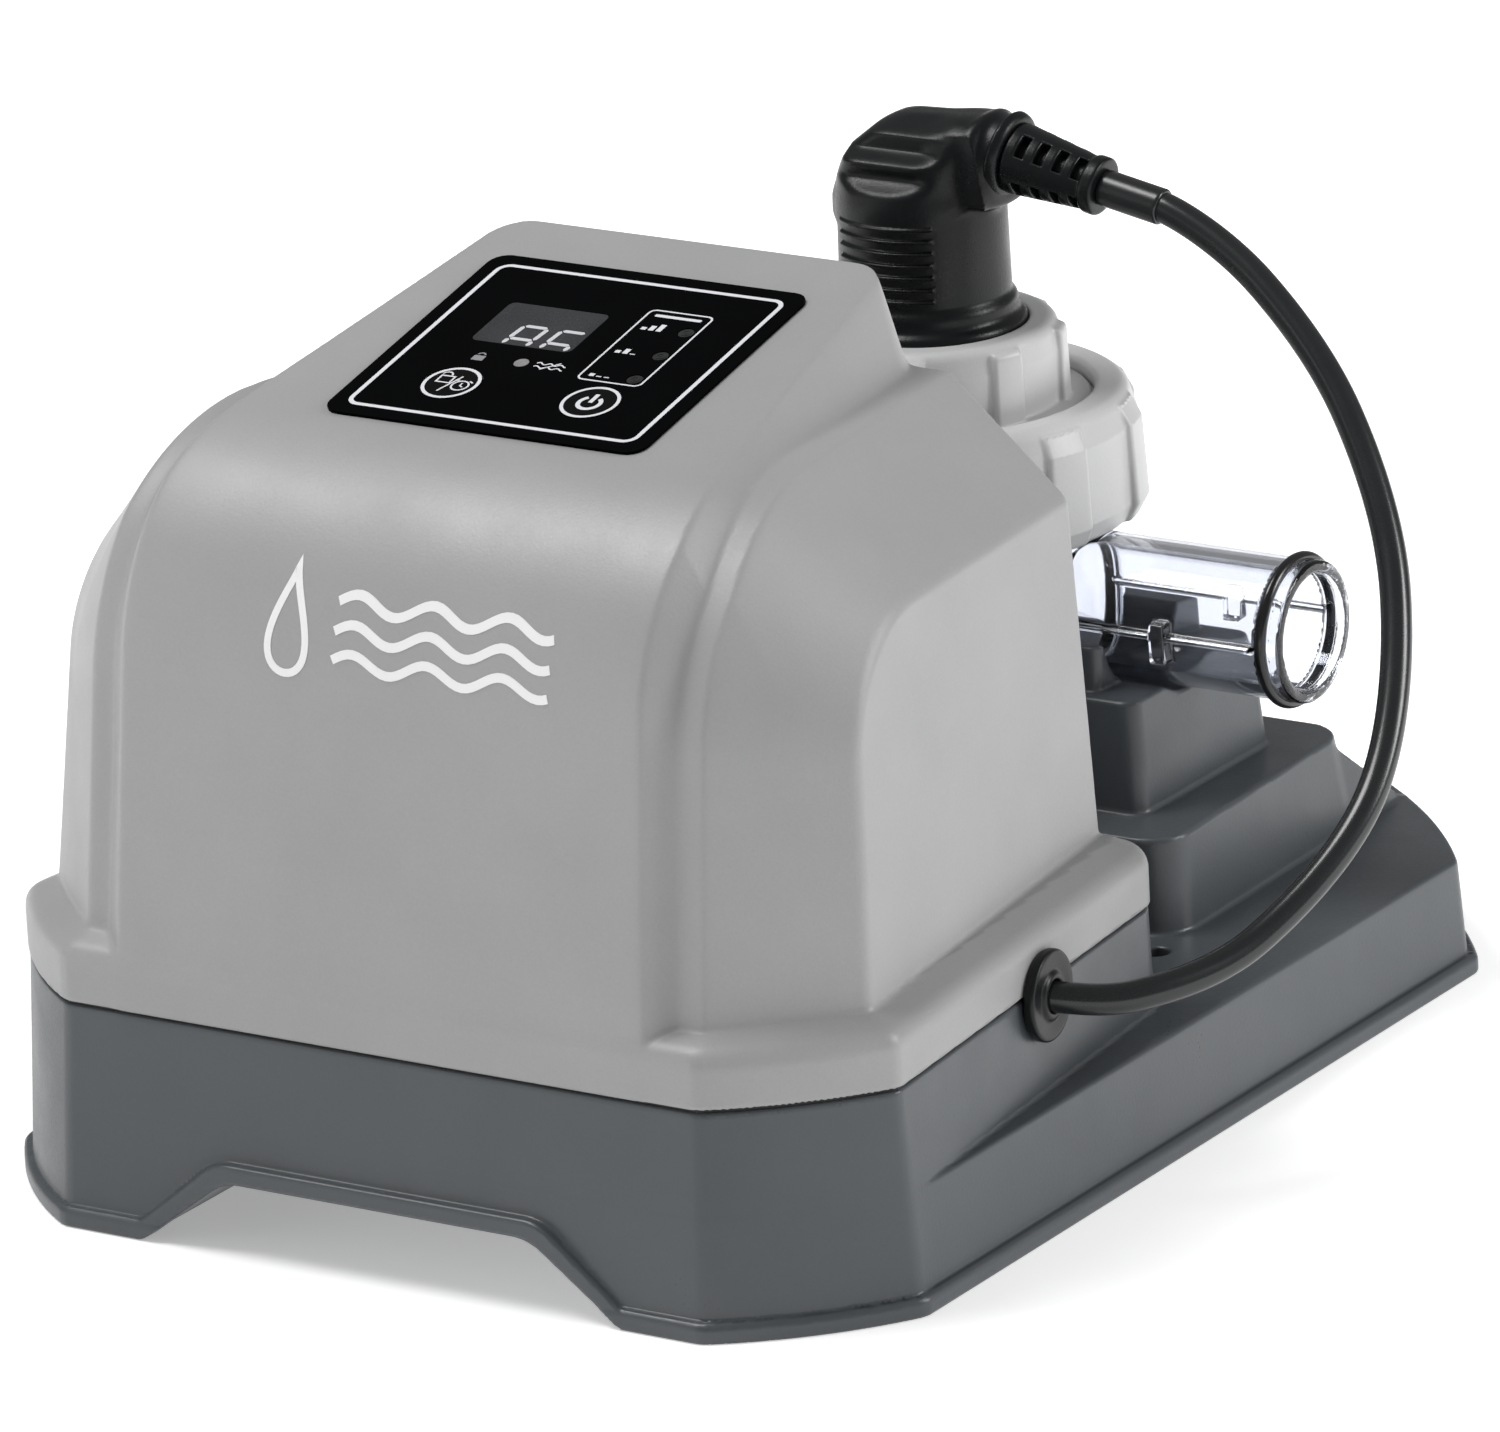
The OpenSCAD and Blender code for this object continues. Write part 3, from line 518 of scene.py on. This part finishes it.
def material(name, colour, rough, grain=0.0, grain_size=0.9, vary=0.05, rough_vary=0.06, smudge=0.03,
             **sockets):
    """A plastic, rubber or metal whose colour drifts a little, with a fine grain in its bump and gloss.

    grain is the depth of the bump and grain_size its width, in millimetres. Other sockets of the
    shader are named with _ for a space.
    """
    mat = bpy.data.materials.new(name)
    mat.use_nodes = True
    nodes, links = mat.node_tree.nodes, mat.node_tree.links
    shader = nodes["Principled BSDF"]
    for socket, value in sockets.items():
        shader.inputs[socket.replace("_", " ")].default_value = value
    where = nodes.new("ShaderNodeTexCoord")

    def noise(size_mm, detail=3.0, roughness=0.55):
        n = nodes.new("ShaderNodeTexNoise")
        n.inputs["Scale"].default_value = 1000 / size_mm
        n.inputs["Detail"].default_value = detail
        n.inputs["Roughness"].default_value = roughness
        links.new(where.outputs["Object"], n.inputs["Vector"])
        return n.outputs["Fac"]

    def spread(source, low, high):
        n = nodes.new("ShaderNodeMapRange")
        n.inputs["From Min"].default_value, n.inputs["From Max"].default_value = 0.3, 0.7
        n.inputs["To Min"].default_value, n.inputs["To Max"].default_value = low, high
        links.new(source, n.inputs["Value"])
        return n.outputs["Result"]

    ramp_node = nodes.new("ShaderNodeValToRGB")
    dark, pale = ramp_node.color_ramp.elements
    dark.position, pale.position = 0.3, 0.7
    dark.color = [c * (1 - vary) for c in colour] + [1]
    pale.color = [min(1, c * (1 + vary)) for c in colour] + [1]
    blend = nodes.new("ShaderNodeMix")
    blend.data_type = "FLOAT"
    blend.inputs["Factor"].default_value = 0.55
    links.new(noise(max(grain_size * 0.9, 0.4), 2.0), blend.inputs["A"])
    links.new(noise(38, 2.0), blend.inputs["B"])
    links.new(blend.outputs["Result"], ramp_node.inputs["Fac"])
    links.new(ramp_node.outputs["Color"], shader.inputs["Base Color"])
    gloss = nodes.new("ShaderNodeMath")
    gloss.operation = "ADD"
    links.new(spread(noise(24, 4.0), rough - rough_vary, rough + rough_vary), gloss.inputs[0])
    links.new(spread(noise(grain_size, 2.0), -smudge, smudge), gloss.inputs[1])
    links.new(gloss.outputs["Value"], shader.inputs["Roughness"])
    if grain:
        bump = nodes.new("ShaderNodeBump")
        bump.inputs["Strength"].default_value = 1.0
        bump.inputs["Distance"].default_value = grain * MM
        links.new(noise(grain_size, 3.0, 0.6), bump.inputs["Height"])
        links.new(bump.outputs["Normal"], shader.inputs["Normal"])
    return mat


grey = material("moulded_grey", (0.325, 0.326, 0.326), 0.43, 0.055, 0.85, 0.045, 0.05)
nut_grey = material("nut_grey", (0.54, 0.542, 0.542), 0.38, 0.03, 0.8, 0.04, 0.05)
slate = material("moulded_slate", (0.066, 0.074, 0.081), 0.36, 0.05, 0.8, 0.06, 0.06)
plate_slate = material("plate_slate", (0.04, 0.044, 0.048), 0.6, 0.05, 1.0)
plug_black = material("plug_black", (0.0045, 0.0054, 0.006), 0.33, 0.05, 0.75, 0.2, 0.06, 0.05,
                      Specular_IOR_Level=0.24)
cable_black = material("cable_black", (0.012, 0.0135, 0.0142), 0.24, 0.0, 0.6, 0.2, 0.03, 0.015,
                       Specular_IOR_Level=0.5)
rubber = material("rubber_black", (0.005, 0.0058, 0.0064), 0.33, 0.03, 0.7, 0.15, Specular_IOR_Level=0.28)
ring_rubber = material("o_ring_rubber", (0.008, 0.008, 0.009), 0.22, 0.008, 0.5, 0.15)
overlay_black = material("overlay_black", (0.0012, 0.0014, 0.0016), 0.2, 0.0, 0.6, 0.3, 0.03, 0.02,
                         Specular_IOR_Level=0.01)
key_black = material("key_black", (0.002, 0.0022, 0.0025), 0.22, 0.004, 0.6, 0.3, 0.03,
                     Specular_IOR_Level=0.05)
print_white = material("print_white", (0.72, 0.73, 0.76), 0.4, 0.0, 0.5, 0.05)
print_pale = material("print_pale", (0.27, 0.27, 0.285), 0.35, 0.0, 0.5, 0.12)
emblem_white = material("emblem_white", (0.83, 0.83, 0.83), 0.42, 0.006, 0.6, 0.02)
window_grey = material("window_grey", (0.03, 0.031, 0.034), 0.2, 0.01, 0.45, 0.75, 0.05, 0.08,
                       Specular_IOR_Level=0.2)
segment_white = material("segment_white", (0.6, 0.6, 0.63), 0.3, 0.0, 0.6, 0.1)
lamp_lens = material("lamp_lens", (0.24, 0.24, 0.24), 0.25, 0.02, 1.1, 0.35)
lamp_dark = material("lamp_dark", (0.012, 0.013, 0.013), 0.3, 0.03, 0.9, 0.9)
steel = material("zinc_steel", (0.55, 0.55, 0.56), 0.3, 0.01, 0.6, 0.08, Metallic=1.0)
brass = material("pin_brass", (0.68, 0.5, 0.22), 0.28, 0.008, 0.6, 0.08, Metallic=1.0)
titanium = material("plate_titanium", (0.24, 0.23, 0.225), 0.38, 0.04, 0.5, 0.2, Metallic=1.0)
comb_white = material("comb_white", (0.7, 0.7, 0.68), 0.45, 0.02)
head_white = material("head_white", (0.62, 0.62, 0.6), 0.42, 0.02)
board_green = material("board_green", (0.015, 0.09, 0.04), 0.35, 0.02, 1.4, 0.4)
clear = material("clear_plastic", (0.86, 0.88, 0.94), 0.035, 0.0, 3.0, 0.01, 0.012, 0.004,
                 Transmission_Weight=1.0, IOR=1.47)

# ---- cords ----------------------------------------------------------------------------------

CABLE_R, CABLE_SIDES = 4.1, 28
# the cable's route from inside the sleeve to inside the grommet, as in the CAD
WAY = [(60.8, 86, 213.6), (75.25, 88, 215.55), (105, 84.5, 200), (137, 72.5, 171.5), (162, 51, 133),
       (173, 17, 91), (163, -25, 63.5), (147, -58, 56.6), (124, -70.2, 57), (112, -71.5, 57)]


def curve_through(way, per_span):
    """Points on the smooth line through way, from its second point to its last but one."""
    way = np.array(way, float)
    points = []
    for i in range(1, len(way) - 2):
        a, b, c, d = way[i - 1:i + 3]
        for k in range(per_span + (i == len(way) - 3)):
            t = k / per_span
            square, cube = (2 * a - 5 * b + 4 * c - d) * t * t, (3 * b - a - 3 * c + d) * t ** 3
            points.append(0.5 * (2 * b + (c - a) * t + square + cube))
    return np.array(points)


def tube(name, path, radius, sides, body, slot, mat):
    """A round tube along path, closed at its ends; radius is one number, or one for each point."""
    n = len(path)
    radius = np.broadcast_to(np.asarray(radius, float), n)
    ahead = np.gradient(path, axis=0)
    ahead /= np.linalg.norm(ahead, axis=1, keepdims=True)
    u = np.cross(ahead[0], (0.35, -0.55, -0.75))
    points, normals = [], []
    for p, t, r in zip(path, ahead, radius):
        u = u - t * (u @ t)
        u /= np.linalg.norm(u)
        v = np.cross(t, u)
        a = np.arange(sides) * 2 * math.pi / sides
        normals.append(np.cos(a)[:, None] * u + np.sin(a)[:, None] * v)
        points.append(p + r * normals[-1])
    faces = []
    for i in range(n - 1):
        for k in range(sides):
            a, b = i * sides + k, i * sides + (k + 1) % sides
            faces.append((a, b, b + sides, a + sides))
    faces += [tuple(range(sides))[::-1], tuple((n - 1) * sides + k for k in range(sides))]
    return new_piece(name, np.concatenate(points), faces, body, mat, np.concatenate(normals))


route = curve_through(WAY, 24)
middle = len(route) // 2
upper_route, lower_route = route[:middle + 1], route[middle:][::-1]


# the tube itself starts a little way inside the sleeve
inside_sleeve = upper_route[:1] - (1.6, 0, -0.35)
upper_path = np.vstack([inside_sleeve, upper_route])
upper_cable = tube("cable_upper", upper_path, CABLE_R, CABLE_SIDES, None, "cell_cable", cable_black)
lower_cable = tube("cable_lower", lower_route, CABLE_R, CABLE_SIDES, None, "cell_cable", cable_black)
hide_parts("cell_cable")
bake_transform(upper_cable)
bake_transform(lower_cable)

# ---- pieces ---------------------------------------------------------------------------------

moulding("housing", cover_field, (-136, -188, 57), (136, 6, 232), 1.15,
         "base_unit", grey, ["cover"], steep=2.6)
moulding("base_moulding", base_field, (-141, -193, -3), (141, 193, 104), 1.1,
         "base_unit", slate, ["base"], steep=1.6)
moulding("clear_cell", clear_field, (-119, 36, 79), (119, 140, 153), 0.9,
         "base_unit", clear, ["cell_housing"])
moulding("collar_nut", collar_field, (-60, 28, 121), (60, 148, 161), 0.8,
         "collar", nut_grey, ["cell_collar"])
moulding("ring_nut", plug_nut_field, (-45, 43, 151), (45, 133, 179), 0.7,
         "plug_ring", nut_grey, ["plug_nut"])
moulding("plug_shell", plug_field, (-34, 54, 164), (34, 122, 239), 0.6,
         "plug", plug_black, ["plug_body"])
moulding("outlet_collar", ring_field, (24, 73, 210), (34, 103, 240), 0.5,
         "plug", plug_black, ["outlet_ring"])
relief = moulding("flex_relief", relief_field, (26, 75, 206), (62, 101, 238), 0.42,
                  "plug", plug_black, ["strain_relief"])
sleeve = moulding("flex_sleeve", sleeve_field, (54, 80, 208), (78, 96, 227), 0.6,
                  "plug", cable_black, ["cable_sleeve"])
grommet = moulding("flex_grommet", grommet_field, (115, -86, 42), (134, -54, 72), 0.5,
                   "base_unit", rubber, ["cable_grommet"])

# ---- panel ----------------------------------------------------------------------------------

OVERLAY_TOP, KEY_TOP = 0.85, 0.95


def on_panel(u, v, w):
    """A point u across and v up the panel, standing w proud of it."""
    c, s = math.cos(PANEL_SLOPE), math.sin(PANEL_SLOPE)
    return (u, PANEL_Y + v * c - w * s, PANEL_Z + v * s + w * c)


class Sheet:
    """Flat shapes that lie together on the panel, as one mesh."""

    def __init__(self):
        self.points, self.faces = [], []

    def add(self, outline):
        """A filled shape."""
        base = len(self.points)
        self.points += outline
        self.faces.append(tuple(range(base, base + len(outline))))

    def stroke(self, way, width, closed=False):
        """A line of even width along way, with mitred corners."""
        way = [np.array(p, float) for p in way]
        n, half = len(way), width / 2
        base = len(self.points)
        for i, p in enumerate(way):
            before = way[i - 1] if i or closed else p
            after = way[(i + 1) % n] if i < n - 1 or closed else p
            d1, d2 = (p - before), (after - p)
            d1 = d1 / np.linalg.norm(d1) if np.linalg.norm(d1) > 1e-9 else d2 / np.linalg.norm(d2)
            d2 = d2 / np.linalg.norm(d2) if np.linalg.norm(d2) > 1e-9 else d1
            normal = np.array((-(d1 + d2)[1], (d1 + d2)[0]))
            normal /= np.linalg.norm(normal)
            reach = half / max(0.35, normal @ np.array((-d1[1], d1[0])))
            self.points += [tuple(p + normal * reach), tuple(p - normal * reach)]
        for i in range(n if closed else n - 1):
            a, b = base + 2 * i, base + 2 * ((i + 1) % n)
            self.faces.append((a, a + 1, b + 1, b))

    def disc(self, u, v, r, n=40):
        """A filled circle."""
        turns = [i * 2 * math.pi / n for i in range(n)]
        self.add([(u + r * math.cos(a), v + r * math.sin(a)) for a in turns])

    def piece(self, name, lift, thick, body, mat, place=on_panel):
        """The shapes as a thin layer that rises from lift by thick."""
        n = len(self.points)
        points = [place(u, v, lift + thick) for u, v in self.points]
        points += [place(u, v, lift) for u, v in self.points]
        faces = list(self.faces)
        edges = {edge for f in self.faces for edge in zip(f, f[1:] + f[:1])}
        for f in self.faces:
            faces.append(tuple(i + n for i in f[::-1]))
            for a, b in zip(f, f[1:] + f[:1]):
                if (b, a) not in edges:
                    faces.append((b, a, a + n, b + n))
        obj = new_piece(name, points, faces, body, mat)
        obj.data.shade_flat()
        return obj


def ring_way(u, v, r, n=48, start=0.0, end=360.0):
    """Points round a circle or an arc; a full circle doesn't repeat its first point."""
    steps = n if end - start >= 360 else n + 1
    turns = [math.radians(start + (end - start) * i / n) for i in range(steps)]
    return [(u + r * math.cos(a), v + r * math.sin(a)) for a in turns]


def round_rect(u0, v0, u1, v1, r, n=6):
    """The outline of a rectangle with round corners."""
    centres = ((u1 - r, v0 + r, 270), (u1 - r, v1 - r, 0), (u0 + r, v1 - r, 90), (u0 + r, v0 + r, 180))
    return [point for u, v, start in centres for point in ring_way(u, v, r, n, start, start + 90)]


printing = Sheet()
printing.stroke(round_rect(-43, -37.6, 43, 37.4, 3.2), 1.25, closed=True)
printing.stroke(round_rect(10.2, -11.6, 29.0, 25.4, 1.8), 0.55, closed=True)
# level marks beside the three lamps, and a heading bar, in place of words
printing.add(round_rect(12.6, 22.3, 26.6, 23.5, 0.5))
for v, bars in ((17.1, 3), (4.6, 2), (-7.9, 1)):
    for i in range(3):
        u = 12.6 + i * 2.3
        if i < bars:
            top = v - 0.4 + i * 1.1
            printing.add([(u, v - 1.7), (u + 1.5, v - 1.7), (u + 1.5, top), (u, top)])
        else:
            printing.stroke([(u, v - 1.5), (u + 1.5, v - 1.5)], 0.4)
# a wave with a bar through it beside the flow lamp
for row in (-0.9, 0.9):
    printing.stroke([(-4.4 + i * 0.4, -8.0 + row + 0.45 * math.sin(i * 0.4 * 2.0)) for i in range(23)], 0.42)
printing.stroke([(-2.0, -9.9), (2.2, -5.9)], 0.42)
printing.piece("panel_print", OVERLAY_TOP, 0.05, "base_unit", print_white)

lock_mark = Sheet()
lock_mark.add(round_rect(-23.1, -9.7, -19.7, -7.3, 0.3))
lock_mark.stroke(ring_way(-21.4, -7.0, 1.05, 14, 10, 170), 0.5)
lock_mark.piece("lock_mark", OVERLAY_TOP, 0.05, "base_unit", print_pale)

timer_mark = Sheet()
timer_mark.stroke(ring_way(-21, -22, 7.4, 56), 0.95, closed=True)
timer_mark.stroke([(-25.6, -22.2), (-25.6, -19.0), (-21.6, -19.0), (-21.6, -22.2)], 0.5, closed=True)
timer_mark.stroke(ring_way(-24.4, -18.6, 1.5, 14, 0, 165), 0.45)
timer_mark.stroke([(-22.6, -26.6), (-19.6, -18.4)], 0.5)
timer_mark.stroke(ring_way(-17.9, -22.8, 2.3, 30), 0.5, closed=True)
timer_mark.stroke([(-17.9, -21.5), (-17.9, -22.8), (-16.9, -23.4)], 0.4)
timer_mark.stroke([(-20.6, -20.9), (-19.4, -20.2)], 0.5)
timer_mark.stroke([(-16.4, -20.2), (-15.2, -20.9)], 0.5)
timer_mark.piece("timer_mark", KEY_TOP, 0.04, "timer_button", print_white)
power_mark = Sheet()
power_mark.stroke(ring_way(21, -22, 7.4, 56), 0.95, closed=True)
power_mark.stroke(ring_way(21, -22.4, 3.0, 36, 125, 415), 1.2)
power_mark.stroke([(21, -22.2), (21, -17.9)], 1.2)
power_mark.piece("power_mark", KEY_TOP, 0.04, "power_button", print_white)

# two seven-segment numerals, slanted, so low in the window that their bottom bars are out of sight
digits = Sheet()
LOWEST_LIT = 0.15


def segment(u0, v0, u1, v1, width=1.3):
    """One lit bar with pointed ends, slanted with the digit."""
    a, b = np.array((u0, v0)), np.array((u1, v1))
    d = (b - a) / np.linalg.norm(b - a)
    n = np.array((-d[1], d[0])) * width / 2
    tip = d * width / 2
    return [tuple(p) for p in (a, a + tip - n, b - tip - n, b, b - tip + n, a + tip + n)]


def digit(u, v, segments, w=7.2, h=6.6, slant=0.1, gap=0.22):
    """One numeral. A segment is named by its two ends: top, middle or bottom, and left or right."""
    corners = {"tl": (0, 2 * h), "tr": (w, 2 * h), "ml": (0, h), "mr": (w, h), "bl": (0, 0), "br": (w, 0)}
    for s in segments.split():
        (u0, v0), (u1, v1) = corners[s[:2]], corners[s[2:]]
        du, dv = (gap if u1 != u0 else 0), (gap if v1 != v0 else 0)
        p = (u + u0 + slant * v0 + du, v + v0 + dv)
        q = (u + u1 + slant * v1 - du, v + v1 - dv)
        if min(p[1], q[1]) < LOWEST_LIT:
            if p[1] == q[1]:
                continue
            p, q = sorted((p, q), key=lambda a: a[1])
            p = (p[0] + (LOWEST_LIT - p[1]) * slant, LOWEST_LIT)
        digits.add(segment(*p, *q))


digit(-20.0, -3.6, "tltr mlmr blbr mltl blml mrtr brmr")
digit(-8.6, -3.6, "tltr mlmr blbr mltl blml brmr")
digits.piece("lit_segments", 0.8, 0.06, "base_unit", segment_white)

lamp_tops = Sheet()
for u, v in ((25.7, 16.7), (25.7, 4.3), (25.7, -8.2)):
    lamp_tops.stroke(ring_way(u, v, 1.15, 28), 0.5, closed=True)
    lamp_tops.disc(u, v, 0.45, 16)
lamp_tops.piece("lamp_tops", 0.7, 0.1, "base_unit", lamp_dark)
flow_lamp = Sheet()
flow_lamp.disc(-8.7, -7.9, 2.0)
flow_lamp.piece("flow_lamp", 0.7, 0.14, "base_unit", lamp_lens)

# ---- emblem on the front: a plain drop beside three wave lines ---------------------------------

def on_front(u, v, w):
    """A point on the front of the raised band at height v, standing proud by w."""
    near, far = -192.0, -120.0
    for _ in range(30):
        y = (near + far) / 2
        near, far = (y, far) if cover_field(np.array([u]), np.array([y]), np.array([v]))[0] > 0 else (near, y)
    return (u, far - w, v)


emblem = Sheet()
for row, height in enumerate((172.5, 165.5, 158.5)):
    emblem.stroke([(-14 + i * 1.5, height + 2.0 * math.sin(i * 0.42)) for i in range(44)], 2.3)
turns = np.linspace(0, 2 * math.pi, 49)[:-1]
drop = [(-28 + 8.2 * math.sin(t) * math.sin(t / 2) ** 1.6, 166 + 12.5 * math.cos(t)) for t in turns]
emblem.stroke(drop, 2.0, closed=True)
emblem.piece("emblem", -0.25, 0.4, "base_unit", emblem_white, on_front)

# ---- finishes for the CAD nodes that stay -----------------------------------------------------

FINISH = {
    "base_plate": plate_slate, "rubber_feet": rubber, "plate_screws": steel, "cover_gasket": rubber,
    "cover_screws": steel, "panel_overlay": overlay_black, "display_window": window_grey,
    "display_digits": lamp_dark, "status_leds": lamp_dark, "timer_key": key_black, "power_key": key_black,
    "control_board": board_green, "key_switches": rubber, "board_screws": steel, "power_supply": steel,
    "supply_screws": steel, "mains_gland": plug_black, "port_o_rings": ring_rubber,
    "electrode_head": head_white, "head_seal": ring_rubber, "electrode_plates": titanium,
    "electrode_posts": steel, "plate_combs": comb_white, "socket_insert": plug_black, "plug_pins": brass,
}
for node, mat in FINISH.items():
    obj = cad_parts[node]
    if not obj.material_slots:
        obj.data.materials.append(mat)
    for material_slot in obj.material_slots:
        material_slot.material = mat

# ---- floor and light --------------------------------------------------------------------------

floor_mat = material("floor_white", (0.9, 0.9, 0.9), 0.7, 0.0, 30.0, 0.004)
floor_shader = floor_mat.node_tree.nodes["Principled BSDF"]
floor_shader.inputs["Emission Color"].default_value = (1, 1, 1, 1)
# painted light: the floor glows, least at the object's front left, where that is painted shade, and more with
# distance from there, so that it lights the object's right side more from below
nodes, links = floor_mat.node_tree.nodes, floor_mat.node_tree.links
place = nodes.new("ShaderNodeTexCoord")
reach = nodes.new("ShaderNodeVectorMath")
floor_glow = nodes.new("ShaderNodeMapRange")
reach.operation = "DISTANCE"
reach.inputs[1].default_value = (-0.25, -0.2, 0)
links.new(place.outputs["Object"], reach.inputs[0])
links.new(reach.outputs["Value"], floor_glow.inputs["Value"])
for socket, value in (("From Min", 0.2), ("From Max", 1.15), ("To Min", 0.32), ("To Max", 0.95)):
    floor_glow.inputs[socket].default_value = value
links.new(floor_glow.outputs["Result"], floor_shader.inputs["Emission Strength"])
FLOOR_HALF = 9000
floor_corners = [(x * FLOOR_HALF, y * FLOOR_HALF, 0) for x, y in ((-1, -1), (1, -1), (1, 1), (-1, 1))]
floor = new_piece("floor", floor_corners, [(0, 1, 2, 3)], None, floor_mat)

world = bpy.data.worlds.new("studio")
world.use_nodes = True
world.node_tree.nodes["Background"].inputs["Color"].default_value = (1, 1, 1, 1)
world.node_tree.nodes["Background"].inputs["Strength"].default_value = 0.26
scene.world = world


def softbox(name, at, size, watts, look=(0, -0.03, 0.12)):
    """A rectangular light at a place in metres, turned towards the object."""
    data = bpy.data.lights.new(name, "AREA")
    data.shape, data.size, data.size_y, data.energy = "RECTANGLE", size[0], size[1], watts
    obj = bpy.data.objects.new(name, data)
    obj.location = at
    obj.rotation_euler = (Vector(look) - Vector(at)).to_track_quat("-Z", "Y").to_euler()
    scene.collection.objects.link(obj)


softbox("top_light", (-0.7, -0.4, 1.8), (0.8, 0.8), 25)
softbox("left_light", (-1.8, -2.0, 0.8), (1.6, 1.6), 7)
softbox("right_light", (1.7, 0.75, 0.95), (0.5, 0.9), 20)
